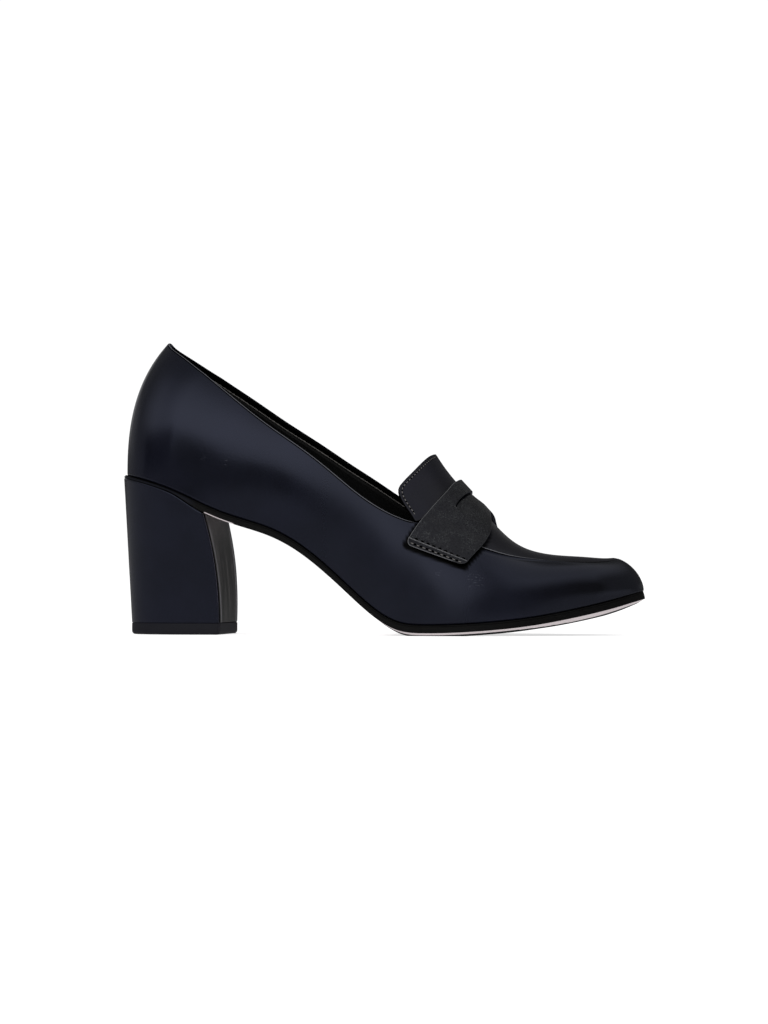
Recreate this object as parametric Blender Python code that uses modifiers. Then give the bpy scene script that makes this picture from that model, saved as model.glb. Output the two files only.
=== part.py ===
# A right shoe: a closed leather loafer pump on a high covered block heel, with a tongue tab and a
# saddle strap. Metres. +X runs to the toe, +Y to the inner (medial) side, and the floor is at z = 0.

import math

import bmesh
import bpy
import numpy as np

COLLECTION = "loafer_pump"

# The last, which the upper, insole, sole and heel all follow.
LAST_LENGTH = 0.2369  # back of the heel seat to the toe tip, along the floor
BALL_WIDTH = 0.077  # last's bottom across the ball joints
SEAT_HEIGHT = 0.0732  # floor to the feather edge at the back of the heel seat
TREAD_HEIGHT = 0.0050  # floor to the feather edge under the ball joints
TOE_SPRING = 0.0150  # rise of the feather edge from the ball to the toe tip
INSTEP_DEPTH = 0.0700  # feather edge to the last's crest, at the back of the ball
CREST_SHIFT = 0.0040  # how far the instep's crest lies to the inner side
WALL_SWELL = 0.0070  # most that the side walls stand out past the feather edge
ARCH_LIFT = 0.0020  # how far the inner feather edge is raised under the arch
HEEL_ROUND = 0.105  # length of the heel's rounded back, as a share of the last
TOE_ROUND = 0.085  # length of the toe's rounded tip, as a share of the last

# Walls and soles, and the clearance between pieces.
FIT_GAP = 0.0003
UPPER_WALL = 0.0018
APRON_DROP = 0.0007  # the apron lies this far below the side walls at its seam
SEAM_WIDTH = 0.0004
TONGUE_WALL = 0.0018
STRAP_WALL = 0.0020
INSOLE_THICKNESS = 0.0020
SOLE_THICKNESS = 0.0034  # outsole's edge in front of the heel
SEAT_THICKNESS = 0.0010  # outsole skived thin over the heel
SKIVE_START = 0.100  # share of the last's length, where the outsole starts to thicken
SKIVE_END = 0.170  # share of the last's length, where it has its full thickness
BEVEL_START = 0.175  # share of the last's length, where the outsole's lower edge starts to be bevelled
BEVEL_END = 0.230  # share of the last's length, where the bevel has its full size
SOLE_LEDGE = 0.0009  # outsole's edge past the feather edge
SOLE_BEVEL_HEIGHT = 0.0018
SOLE_BEVEL_WIDTH = 0.0030

# Heel.
HEEL_LEDGE = 0.0015  # covered heel's rim past the feather edge
HEEL_FOOT_BACK = 0.0020  # back of the heel's foot, ahead of the seat's back
HEEL_FOOT_WIDTH = 0.0420
BREAST_FOOT = 0.0470  # seat's back to the heel breast, at its foot
BREAST_SWEEP = 0.0062  # how far the breast curves back towards its top
BREAST_CURVE = 2.5  # power of that curve
LIFT_THICKNESS = 0.0052  # rubber top piece under the heel
LIFT_BEVEL = 0.0008

# Slot across the strap's crest.
SLOT_WIDTH = 0.0037  # along the floor, at the crest
SLOT_END_CLIMB = 0.64  # share of the climb to the crest, where the slot closes on both sides

# The last's bottom edge, called the feather edge. Outer and inner half widths are shares of BALL_WIDTH,
# rise is a share of the seat's height over the tread, spring of TOE_SPRING and arch of ARCH_LIFT.
BOTTOM_COLUMNS = ("along", "outer", "inner", "rise", "spring", "arch")
BOTTOM_ROWS = (
    (0.00, 0.325, 0.325, 1.000, 0.00, 0.0),
    (0.10, 0.332, 0.332, 0.902, 0.00, 0.0),
    (0.20, 0.332, 0.308, 0.748, 0.00, 0.2),
    (0.25, 0.324, 0.286, 0.690, 0.00, 0.4),
    (0.30, 0.316, 0.262, 0.631, 0.00, 0.7),
    (0.35, 0.313, 0.243, 0.538, 0.00, 0.9),
    (0.40, 0.322, 0.234, 0.407, 0.00, 1.0),
    (0.45, 0.350, 0.244, 0.256, 0.00, 0.9),
    (0.50, 0.396, 0.284, 0.112, 0.00, 0.6),
    (0.55, 0.444, 0.348, 0.019, 0.00, 0.2),
    (0.60, 0.484, 0.412, 0.000, 0.00, 0.0),
    (0.66, 0.506, 0.466, 0.000, 0.02, 0.0),
    (0.72, 0.492, 0.492, 0.000, 0.08, 0.0),
    (0.80, 0.424, 0.452, 0.000, 0.22, 0.0),
    (0.88, 0.322, 0.358, 0.000, 0.46, 0.0),
    (0.95, 0.226, 0.248, 0.000, 0.74, 0.0),
    (1.00, 0.165, 0.165, 0.000, 1.00, 0.0),
)

# The last's body over that edge. Depth is a share of INSTEP_DEPTH, lean (crest ahead of its own feather
# point) of LAST_LENGTH, crest of CREST_SHIFT and swell of WALL_SWELL. Square is the power of the section,
# 2 for an ellipse.
BODY_COLUMNS = ("along", "depth", "lean", "crest", "swell", "square")
BODY_ROWS = (
    (0.00, 0.997, 0.214, 0.0, 0.03, 2.35),
    (0.10, 0.943, 0.190, 0.1, 0.34, 2.30),
    (0.20, 0.938, 0.156, 0.2, 0.70, 2.20),
    (0.30, 0.883, 0.133, 0.3, 0.95, 2.20),
    (0.40, 0.977, 0.100, 0.5, 1.00, 2.15),
    (0.50, 1.130, 0.063, 0.8, 0.80, 2.10),
    (0.55, 1.108, 0.043, 0.9, 0.60, 2.10),
    (0.60, 1.000, 0.021, 1.0, 0.45, 2.10),
    (0.65, 0.851, 0.010, 1.0, 0.32, 2.12),
    (0.70, 0.686, 0.002, 1.0, 0.24, 2.16),
    (0.75, 0.521, -0.003, 0.9, 0.18, 2.25),
    (0.80, 0.426, -0.006, 0.8, 0.15, 2.40),
    (0.85, 0.370, -0.009, 0.6, 0.13, 2.55),
    (0.90, 0.321, -0.015, 0.4, 0.12, 2.50),
    (0.95, 0.266, -0.031, 0.2, 0.10, 2.15),
    (1.00, 0.212, -0.058, 0.0, 0.06, 1.62),
)

# The upper's rim on each side, as a climb from 0 at the feather edge to 1 at the crest. It is the topline
# behind the throat and the apron's seam in front of it.
RIM_COLUMNS = ("along", "outer", "inner")
RIM_ROWS = (
    (0.00, 0.617, 0.617),
    (0.05, 0.598, 0.591),
    (0.10, 0.565, 0.564),
    (0.20, 0.505, 0.528),
    (0.30, 0.445, 0.480),
    (0.40, 0.393, 0.440),
    (0.45, 0.372, 0.433),
    (0.50, 0.373, 0.433),
    (0.57, 0.404, 0.441),
    (0.64, 0.446, 0.454),
    (0.70, 0.489, 0.492),
    (0.76, 0.595, 0.597),
    (0.82, 0.658, 0.660),
    (0.90, 0.648, 0.648),
    (0.95, 0.722, 0.722),
    (1.00, 0.870, 0.870),
)
THROAT = 0.575  # share of the last's length, where the rim meets the tongue
THROAT_SKEW = 0.072  # share of the last's length by which the throat edge runs further forward at the crest

# The strap at each climb: places along the last of its back edge, its slot's middle line and its front
# edge. It starts at the first row on both sides, and its slot opens near the crest.
STRAP_COLUMNS = ("climb", "back", "slot", "front")
STRAP_ROWS = (
    (0.29, 0.562, 0.613, 0.675),
    (0.38, 0.579, 0.625, 0.688),
    (0.47, 0.595, 0.634, 0.701),
    (0.60, 0.613, 0.644, 0.710),
    (0.70, 0.622, 0.652, 0.711),
    (0.85, 0.628, 0.661, 0.706),
    (1.00, 0.629, 0.664, 0.697),
)
STRAP_CORNER = 0.02  # share of the climb to the crest by which its four corners are cut back
STRAP_SETTLE = 0.06  # share of the climb over which it settles from the side wall down to the apron

# The tongue's free edge: its place along the last at each climb, from the rim to the crest.
TONGUE_COLUMNS = ("climb", "edge")
TONGUE_ROWS = (
    (0.420, 0.5747),
    (0.445, 0.5622),
    (0.470, 0.5462),
    (0.495, 0.5357),
    (0.520, 0.5322),
    (0.560, 0.5357),
    (0.610, 0.5427),
    (0.660, 0.5492),
    (0.750, 0.5572),
    (0.870, 0.5617),
    (1.000, 0.5612),
)

# Steps of the grids.
REAR_STEPS = 22
FRONT_STEPS = 20
WALL_STEPS = 7
APRON_STEPS = 9
APRON_CROWDING = 1.5  # power that brings the apron's rows closer together near its rim
STRAP_STEPS = 14
STRAP_BACK_STEPS = 2
STRAP_FRONT_STEPS = 3
TONGUE_CROSS_STEPS = 5
HEEL_STEPS = 22
HEEL_LEVELS = 8


def spline(places, values):
    """The natural cubic curve through the points, as a function of an array of places."""
    places, values = np.array(places, float), np.array(values, float)
    gap = np.diff(places)
    slope = np.diff(values) / gap
    size = len(places)
    matrix, right = np.eye(size), np.zeros(size)
    for row in range(1, size - 1):
        matrix[row, row - 1:row + 2] = gap[row - 1], 2 * (gap[row - 1] + gap[row]), gap[row]
        right[row] = 6 * (slope[row] - slope[row - 1])
    bend = np.linalg.solve(matrix, right)

    def curve(place):
        cell = np.clip(np.searchsorted(places, place) - 1, 0, size - 2)
        width, done, left = gap[cell], place - places[cell], places[cell + 1] - place
        cubic = (bend[cell] * left**3 + bend[cell + 1] * done**3) / (6 * width)
        from_start = (values[cell] / width - bend[cell] * width / 6) * left
        to_end = (values[cell + 1] / width - bend[cell + 1] * width / 6) * done
        return cubic + from_start + to_end

    return curve


def curves_of(columns, rows):
    """One smooth curve for each named column of a table, over its first column."""
    values = list(zip(*rows))
    return {name: spline(values[0], column) for name, column in zip(columns[1:], values[1:])}


BOTTOM = curves_of(BOTTOM_COLUMNS, BOTTOM_ROWS)
BODY = curves_of(BODY_COLUMNS, BODY_ROWS)
RIM = curves_of(RIM_COLUMNS, RIM_ROWS)
STRAP = curves_of(STRAP_COLUMNS, STRAP_ROWS)
TONGUE = curves_of(TONGUE_COLUMNS, TONGUE_ROWS)


def along_of(turn):
    """Place along the last, 0 to 1, of a turn round it. A turn runs from -1 at the toe tip down the outer
    side to 0 at the heel's back, and up the inner side to 1 at the toe tip again."""
    return (1 - np.cos(math.pi * np.abs(turn))) / 2


def turn_of(along):
    """Turn on the inner side of a place along the last. Its negative is the turn on the outer side."""
    return np.arccos(1 - 2 * np.asarray(along, float)) / math.pi


def outward(along):
    """Forward and sideways parts of the direction that leads out of the last's plan."""
    behind = np.clip(1 - along / HEEL_ROUND, 0, 1)
    ahead = np.clip((along - 1 + TOE_ROUND) / TOE_ROUND, 0, 1) - behind
    return ahead, np.sqrt(np.maximum(1 - ahead**2, 0))


def ease(value, start, end):
    """Grows smoothly from 0 at the start to 1 at the end."""
    share = np.clip((value - start) / (end - start), 0, 1)
    return share * share * (3 - 2 * share)


def feather_height(along, side):
    """Height of the feather edge. Side is -1 on the outer side, 1 on the inner."""
    rise = (SEAT_HEIGHT - TREAD_HEIGHT) * BOTTOM["rise"](along)
    lift = ARCH_LIFT * BOTTOM["arch"](along) * (1 + side) / 2
    return TREAD_HEIGHT + rise + TOE_SPRING * BOTTOM["spring"](along) + lift


def feather_point(turn, proud=0.0):
    """Point of the feather edge, moved outwards in plan by proud."""
    side, along = np.sign(turn), along_of(turn)
    ahead, aside = outward(along)
    half = BALL_WIDTH * np.where(turn < 0, BOTTOM["outer"](along), BOTTOM["inner"](along))
    x = LAST_LENGTH * along + ahead * proud
    y = side * aside * (half + proud)
    return np.stack([x, y, feather_height(along, side)], axis=-1)


def last_point(turn, climb):
    """Point of the last's surface: climb 0 is the feather edge, climb 1 the crest over it."""
    turn, climb = np.broadcast_arrays((np.asarray(turn, float) + 1) % 2 - 1, np.asarray(climb, float))
    along = along_of(turn)
    angle = climb * math.pi / 2
    power = 2 / BODY["square"](along)
    inwards = 1 - np.maximum(np.cos(angle), 0)**power
    upwards = np.maximum(np.sin(angle), 0)**power
    swell = WALL_SWELL * BODY["swell"](along) * np.sin(2 * angle)
    foot = feather_point(turn)
    crest_height = feather_height(along, -1) + INSTEP_DEPTH * BODY["depth"](along)
    ahead, aside = outward(along)
    x = foot[..., 0] + LAST_LENGTH * BODY["lean"](along) * inwards + ahead * swell
    crest = CREST_SHIFT * BODY["crest"](along) * inwards
    y = foot[..., 1] * (1 - inwards) + np.sign(turn) * aside * swell + crest
    z = foot[..., 2] + (crest_height - foot[..., 2]) * upwards
    return np.stack([x, y, z], axis=-1)


def unit(direction):
    """The direction with a length of 1."""
    return direction / np.linalg.norm(direction, axis=-1, keepdims=True)


def last_normal(turn, climb, step=0.004):
    """Outward direction of the last's surface near its crest. The crest takes it from a step below. Towards
    the toe's tip, which is narrower than a wall, it is turned straight up."""
    climb = np.minimum(climb, 1 - step)
    upwards = last_point(turn, climb + step) - last_point(turn, np.maximum(climb - step, 0))
    round_it = last_point(turn + step, climb) - last_point(turn - step, climb)
    upright = ease(along_of(turn), 1 - TOE_ROUND, 1 - TOE_ROUND / 3)[..., None]
    normal = unit(np.cross(upwards, round_it))
    return unit(normal * (1 - upright) + np.array([0, 0, 1]) * upright)


def over_last(turn, climb, height):
    """Point at a height over the last's surface. At the crest the two sides' directions are made one."""
    turn, climb = np.broadcast_arrays(np.asarray(turn, float), np.asarray(climb, float))
    normal = last_normal(turn, climb)
    both = unit(normal + last_normal(-turn, climb))
    normal = np.where((climb > 1 - 1e-9)[..., None], both, normal)
    return last_point(turn, climb) + normal * height


def rim_climb(turn):
    """Climb of the upper's rim."""
    along = along_of(turn)
    return np.where(turn < 0, RIM["outer"](along), RIM["inner"](along))


def apron_shares():
    """Rows of the apron and tongue from the rim, 0, to the crest, 1. They are closer near the rim."""
    return np.linspace(0, 1, APRON_STEPS + 1)**APRON_CROWDING


def throat_skew(share):
    """How much further along the last the throat edge has run than at the rim."""
    return THROAT_SKEW * np.sqrt(share)


def material(name, colour, roughness):
    made = bpy.data.materials.new(name)
    made.use_nodes = True
    shader = made.node_tree.nodes["Principled BSDF"]
    shader.inputs["Base Color"].default_value = (*colour, 1)
    shader.inputs["Roughness"].default_value = roughness
    shader.inputs["Metallic"].default_value = 0
    return made


def grid_faces(rows, columns, first):
    """Four-sided faces of a grid of points. They face along its rows' direction crossed with its columns'."""
    corner = first + np.arange(rows - 1)[:, None] * columns + np.arange(columns - 1)
    faces = np.stack([corner, corner + columns, corner + columns + 1, corner + 1], axis=-1)
    return faces.reshape(-1, 4).tolist()


def surface(name, grids, finish):
    """An object from grids of points that meet at their edges. Points that coincide are made one."""
    points, faces, first = [], [], 0
    for grid in grids:
        rows, columns = grid.shape[:2]
        points.append(grid.reshape(-1, 3))
        faces += grid_faces(rows, columns, first)
        first += rows * columns
    mesh = bpy.data.meshes.new(name)
    mesh.from_pydata(np.concatenate(points).tolist(), [], faces)
    form = bmesh.new()
    form.from_mesh(mesh)
    bmesh.ops.remove_doubles(form, verts=form.verts, dist=1e-6)
    form.to_mesh(mesh)
    form.free()
    mesh.shade_smooth()
    mesh.set_sharp_from_angle(angle=math.radians(35))
    mesh.materials.append(finish)
    made = bpy.data.objects.new(name, mesh)
    bpy.data.collections[COLLECTION].objects.link(made)
    return made


def thicken(sheet, thickness, outwards):
    """Gives a sheet its wall, outwards or inwards from its surface."""
    wall = sheet.modifiers.new("wall", "SOLIDIFY")
    wall.thickness = thickness
    wall.offset = 1 if outwards else -1
    wall.use_even_offset = False


def turns_between(start, end, steps):
    """Turns on the inner side from one place along the last to another."""
    return np.linspace(float(turn_of(start)), float(turn_of(end)), steps + 1)


def side_turns():
    """Turns from the heel's back to the toe tip. The upper and both soles have these columns, so they fit."""
    front = turns_between(THROAT, 1, FRONT_STEPS)
    return np.concatenate([turns_between(0, THROAT, REAR_STEPS), front[1:]])


def make_upper(finish):
    """Side walls up to the rim, and between the seams the apron, lowered by a step in the wall."""
    front = turns_between(THROAT, 1, FRONT_STEPS)
    ring = np.concatenate([-side_turns()[::-1], side_turns()[1:]])
    share = np.linspace(0, 1, WALL_STEPS + 1)[:, None]
    grids = [last_point(ring, share * rim_climb(ring))]

    share = apron_shares()[:, None]
    for turns in (-front[::-1], front):
        along = along_of(turns)
        rim = rim_climb(turns)
        seam = rim + SEAM_WIDTH / (INSTEP_DEPTH * BODY["depth"](along))
        climb = seam + share * (1 - seam)
        skewed = along + throat_skew(share) * (1 - along) / (1 - THROAT)
        apron = over_last(np.sign(turns) * turn_of(skewed), climb, -APRON_DROP)
        grids += [np.stack([last_point(turns, rim), apron[0]]), apron]
    thicken(surface("upper", grids, finish), UPPER_WALL, outwards=False)


def across_last(turns, inset, lift):
    """Rows of points at the outer edge, middle and inner edge of the last's bottom, inset and lifted."""
    outer, inner = feather_point(-turns, -inset), feather_point(turns, -inset)
    rows = np.stack([outer, (outer + inner) / 2, inner])
    rows[..., 2] += lift
    return rows


def closed(name, top, bottom, finish):
    """Solid between two sets of rows that start and end one above the other."""
    sides = [np.stack([top[0], bottom[0]]), np.stack([bottom[-1], top[-1]])]
    return surface(name, [top[::-1], bottom] + sides, finish)


def make_insole(finish):
    turns = side_turns()
    inset = UPPER_WALL + 2 * FIT_GAP
    closed("insole", across_last(turns, inset, INSOLE_THICKNESS), across_last(turns, inset, 0), finish)


def sole_thickness(along):
    return SEAT_THICKNESS + (SOLE_THICKNESS - SEAT_THICKNESS) * ease(along, SKIVE_START, SKIVE_END)


def make_outsole(finish):
    """Full-length sole, flat on the floor at the tread, with its lower edge bevelled in front of the heel."""
    turns = side_turns()
    thickness = sole_thickness(along_of(turns))
    bevel = ease(along_of(turns), BEVEL_START, BEVEL_END)
    top = across_last(turns, -SOLE_LEDGE, -FIT_GAP)
    edge = across_last(turns, -SOLE_LEDGE, -FIT_GAP - thickness)
    inset = SOLE_BEVEL_WIDTH * bevel - SOLE_LEDGE
    tread = across_last(turns, inset, -FIT_GAP - thickness - SOLE_BEVEL_HEIGHT * bevel)
    tread[..., 2] = np.maximum(tread[..., 2], 0)
    closed("outsole", top, np.concatenate([edge[:1], tread, edge[2:]]), finish)


def seat_underside(x):
    """Height of the outsole's underside over the heel, less the clearance."""
    along = np.clip(x / LAST_LENGTH, 0, 1)
    return feather_height(along, -1) - sole_thickness(along) - 2 * FIT_GAP


def heel_loops(shares):
    """Outlines of the heel from its foot, share 0, to its top, share 1. Each runs from the outer end of the
    breast round the back to the inner end."""
    breast_top = BREAST_FOOT - BREAST_SWEEP
    turn = float(turn_of(breast_top / LAST_LENGTH))
    rim = feather_point(np.linspace(-turn, turn, 2 * HEEL_STEPS + 1), HEEL_LEDGE)
    rim_back, rim_breast, rim_half = rim[:, 0].min(), rim[:, 0].max(), rim[:, 1].max()
    share_x = (rim[:, 0] - rim_back) / (rim_breast - rim_back)
    share_y = rim[:, 1] / rim_half
    foot_height = LIFT_THICKNESS + FIT_GAP
    loops = []
    for share in shares:
        back = HEEL_FOOT_BACK + share * (-HEEL_LEDGE - HEEL_FOOT_BACK)
        breast = BREAST_FOOT - BREAST_SWEEP * share**BREAST_CURVE
        half = HEEL_FOOT_WIDTH / 2 + share * (rim_half - HEEL_FOOT_WIDTH / 2)
        x = back + share_x * (breast - back)
        z = foot_height + share * (seat_underside(x) - foot_height)
        loops.append(np.stack([x, share_y * half, z], axis=-1))
    return np.array(loops)


def block(name, loops, finish):
    """Solid through open outlines, foot first. Its breast, top and foot are spanned straight across."""
    half = loops.shape[1] // 2
    top, foot = loops[-1], loops[0]
    lid = np.stack([top[half:], top[:half + 1][::-1]])
    sole = np.stack([foot[:half + 1][::-1], foot[half:]])
    breast = np.stack([loops[:, -1], loops[:, 0]], axis=1)
    return surface(name, [loops, breast, lid, sole], finish)


def make_heel(finish):
    block("heel_block", heel_loops(np.linspace(0, 1, HEEL_LEVELS + 1)), finish)


def make_lift(finish):
    """Rubber top piece, of the heel foot's outline, its lower edge bevelled."""
    foot = heel_loops([0])[0] * (1, 1, 0)
    centre = (foot.min(axis=0) + foot.max(axis=0)) / 2
    reach = foot.max(axis=0) - centre + (0, 0, 1)
    loops = []
    for height, inset in ((0, LIFT_BEVEL), (LIFT_BEVEL, 0), (LIFT_THICKNESS, 0)):
        loops.append(centre + (foot - centre) * (1 - inset / reach) + (0, 0, height))
    block("top_piece", np.array(loops), finish)


def make_tongue(finish):
    """Tab that carries the apron on past the strap, from the throat edge back to its own free edge."""
    rows = np.linspace(0, 1, TONGUE_CROSS_STEPS + 1)[:, None]
    share = apron_shares()
    halves = []
    for side in (-1, 1):
        rim = rim_climb(side * turn_of(THROAT)) + FIT_GAP / INSTEP_DEPTH
        climb = rim + (1 - rim) * share
        start = THROAT + throat_skew(share) - 2 * FIT_GAP / LAST_LENGTH
        edge_climb = TONGUE_ROWS[0][0] + (1 - TONGUE_ROWS[0][0]) * share
        along = start + (np.minimum(TONGUE["edge"](edge_climb), start) - start) * rows
        halves.append(over_last(side * turn_of(along), climb, -APRON_DROP))
    tongue = surface("tongue", [halves[0][:, ::-1], halves[1]], finish)
    thicken(tongue, TONGUE_WALL, outwards=False)


def make_strap(finish):
    """Strap over the apron, from its outer end over the crest to its inner end, in a back and a front band.
    The bands meet along the slot's middle line, and part where the slot is open."""
    climb = np.linspace(STRAP_ROWS[0][0], 1, STRAP_STEPS + 1)
    closed_share = np.clip((1 - climb) / (1 - SLOT_END_CLIMB), 0, 1)
    half_slot = SLOT_WIDTH / LAST_LENGTH / 2 * np.sqrt(1 - closed_share**2)
    back, middle, front = STRAP["back"](climb), STRAP["slot"](climb), STRAP["front"](climb)
    end_share = ease(climb, climb[3], climb[0])
    grids = []
    for side in (-1, 1):
        for start, end, steps, corner in (
            (back, middle - half_slot, STRAP_BACK_STEPS, 0),
            (middle + half_slot, front, STRAP_FRONT_STEPS, -1),
        ):
            along = start + np.linspace(0, 1, steps + 1)[:, None] * (end - start)
            cut = np.zeros(along.shape)
            cut[corner] = STRAP_CORNER * end_share
            turn, height = side * turn_of(along), climb + cut
            rim = rim_climb(turn)
            settled = FIT_GAP - APRON_DROP * ease(height, rim, rim + STRAP_SETTLE)
            band = over_last(turn, height, settled[..., None])
            grids.append(band if side < 0 else band[::-1])
    thicken(surface("strap", grids, finish), STRAP_WALL, outwards=True)


def centre_on_floor():
    """Parents the pieces to an empty that brings the middle of the shoe's plan over the origin."""
    pieces = list(bpy.data.collections[COLLECTION].objects)
    bpy.context.view_layer.update()
    graph = bpy.context.evaluated_depsgraph_get()
    corners = np.concatenate([np.array(piece.evaluated_get(graph).bound_box) for piece in pieces])
    middle = (corners.min(axis=0) + corners.max(axis=0)) / 2
    holder = bpy.data.objects.new("shoe", None)
    holder.location = (-middle[0], -middle[1], 0)
    bpy.data.collections[COLLECTION].objects.link(holder)
    for piece in pieces:
        piece.parent = holder
    print("moved by", -middle[0], -middle[1])


def main():
    for old in list(bpy.data.objects):
        bpy.data.objects.remove(old)
    bpy.context.scene.collection.children.link(bpy.data.collections.new(COLLECTION))
    leather = material("navy_black_leather", (0.012, 0.014, 0.024), 0.38)
    make_upper(leather)
    make_heel(leather)
    make_tongue(material("tongue_leather", (0.013, 0.014, 0.017), 0.45))
    make_strap(material("strap_leather", (0.014, 0.014, 0.016), 0.50))
    make_insole(material("lining_leather", (0.010, 0.010, 0.011), 0.60))
    make_outsole(material("sole_leather", (0.016, 0.015, 0.015), 0.45))
    make_lift(material("black_rubber", (0.015, 0.015, 0.018), 0.65))
    centre_on_floor()


main()
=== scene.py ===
# %% [markdown]
# # A leather loafer pump, dressed around its solid model
#
# The shoe is a right pump on a high covered block heel. It has a raised apron seam, a tongue tab and a
# slotted saddle strap. The solid model is already packed, and it is loaded here as a fixed frame. Each cell
# below makes one piece with its fine surface, or one finish. Everything is in metres: +X runs to the toe,
# +Y to the inner side of the foot, and the floor is at z = 0.

import collections
import math

import bpy
import numpy as np
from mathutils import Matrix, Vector


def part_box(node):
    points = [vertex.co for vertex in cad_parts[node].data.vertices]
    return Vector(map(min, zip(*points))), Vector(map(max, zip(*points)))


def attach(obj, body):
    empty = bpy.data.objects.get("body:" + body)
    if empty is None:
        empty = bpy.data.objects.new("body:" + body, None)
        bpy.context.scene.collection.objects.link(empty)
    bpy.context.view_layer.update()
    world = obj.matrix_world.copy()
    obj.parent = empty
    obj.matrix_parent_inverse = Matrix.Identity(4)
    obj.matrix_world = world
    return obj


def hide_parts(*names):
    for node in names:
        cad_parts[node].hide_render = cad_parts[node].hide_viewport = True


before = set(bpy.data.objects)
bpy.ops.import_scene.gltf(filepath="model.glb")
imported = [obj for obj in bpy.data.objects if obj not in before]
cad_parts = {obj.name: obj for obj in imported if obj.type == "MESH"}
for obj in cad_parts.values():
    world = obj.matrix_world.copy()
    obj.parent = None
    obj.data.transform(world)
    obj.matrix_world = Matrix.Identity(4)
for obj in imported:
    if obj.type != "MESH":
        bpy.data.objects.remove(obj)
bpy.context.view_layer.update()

# %% [markdown]
# ## The camera
#
# A product photograph of a shoe is taken from far away with a long lens, so that the toe and the heel keep
# their proportions. Here the camera stands a little in front of the shoe's side, and hardly above the
# floor. Its distance, lens and place were found by matching the shoe's outline in a picture of 768 by
# 1024 pixels. A small lens shift brings the aim to its own pixel.

# %% Camera
PICTURE = (768, 1024)  # pixels
CAMERA_TURN = math.radians(9.0)  # towards the toe from a true side view
CAMERA_RISE = math.radians(-1.03)
CAMERA_DISTANCE = 1.55
CAMERA_AIM = Vector((0, 0, 0.056))
AIM_PIXEL = (382.3, 511.2)
LENS = 119.9  # millimetres, on a sensor 36 mm along its longer side


def make_camera():
    """Camera at a distance from its aim, in the direction of a turn about the vertical and a rise."""
    level = math.cos(CAMERA_RISE)
    away = Vector((math.sin(CAMERA_TURN) * level, -math.cos(CAMERA_TURN) * level, math.sin(CAMERA_RISE)))
    camera = bpy.data.objects.new("camera", bpy.data.cameras.new("camera"))
    camera.location = CAMERA_AIM + away * CAMERA_DISTANCE
    camera.rotation_euler = (-away).to_track_quat("-Z", "Y").to_euler()
    camera.data.lens = LENS
    camera.data.shift_x = (PICTURE[0] / 2 - AIM_PIXEL[0]) / PICTURE[1]
    camera.data.shift_y = (AIM_PIXEL[1] - PICTURE[1] / 2) / PICTURE[1]
    bpy.context.scene.collection.objects.link(camera)
    bpy.context.scene.camera = camera
    return camera


print("camera stands at", [round(part, 3) for part in make_camera().location])

# %% [markdown]
# ## The last
#
# A shoe is built over a last, a solid form of the foot, and its upper, insole, sole and heel all take their
# shape from it. A sculpted mesh or a subdivision cage could give that form. Here it is one function of two
# parameters, because every piece can then ask it for a point, a direction or a height over it, and all of
# them fit. A turn runs round the last, from -1 at the toe tip down the outer side to 0 at the heel's back,
# and up the inner side to 1. A climb runs over it, from 0 at the bottom edge, called the feather edge, to 1
# at the crest. The short tables give the last's shape at some places along its length, and smooth curves
# run through their rows. The same values shape the solid model, so the two agree.

# %% Sizes and tables of the last
LAST_LENGTH = 0.2369
BALL_WIDTH = 0.077
SEAT_HEIGHT = 0.0732
TREAD_HEIGHT = 0.0050
TOE_SPRING = 0.0150
INSTEP_DEPTH = 0.0700
CREST_SHIFT = 0.0040
WALL_SWELL = 0.0070
ARCH_LIFT = 0.0020
HEEL_ROUND = 0.105
TOE_ROUND = 0.085
THROAT = 0.575  # share of the length, where the topline meets the tongue
THROAT_SKEW = 0.072

BOTTOM_COLUMNS = ("along", "outer", "inner", "rise", "spring", "arch")
BOTTOM_ROWS = (
    (0.00, 0.325, 0.325, 1.000, 0.00, 0.0),
    (0.10, 0.332, 0.332, 0.902, 0.00, 0.0),
    (0.20, 0.332, 0.308, 0.748, 0.00, 0.2),
    (0.25, 0.324, 0.286, 0.690, 0.00, 0.4),
    (0.30, 0.316, 0.262, 0.631, 0.00, 0.7),
    (0.35, 0.313, 0.243, 0.538, 0.00, 0.9),
    (0.40, 0.322, 0.234, 0.407, 0.00, 1.0),
    (0.45, 0.350, 0.244, 0.256, 0.00, 0.9),
    (0.50, 0.396, 0.284, 0.112, 0.00, 0.6),
    (0.55, 0.444, 0.348, 0.019, 0.00, 0.2),
    (0.60, 0.484, 0.412, 0.000, 0.00, 0.0),
    (0.66, 0.506, 0.466, 0.000, 0.02, 0.0),
    (0.72, 0.492, 0.492, 0.000, 0.08, 0.0),
    (0.80, 0.424, 0.452, 0.000, 0.22, 0.0),
    (0.88, 0.322, 0.358, 0.000, 0.46, 0.0),
    (0.95, 0.226, 0.248, 0.000, 0.74, 0.0),
    (1.00, 0.165, 0.165, 0.000, 1.00, 0.0),
)
BODY_COLUMNS = ("along", "depth", "lean", "crest", "swell", "square")
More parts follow.
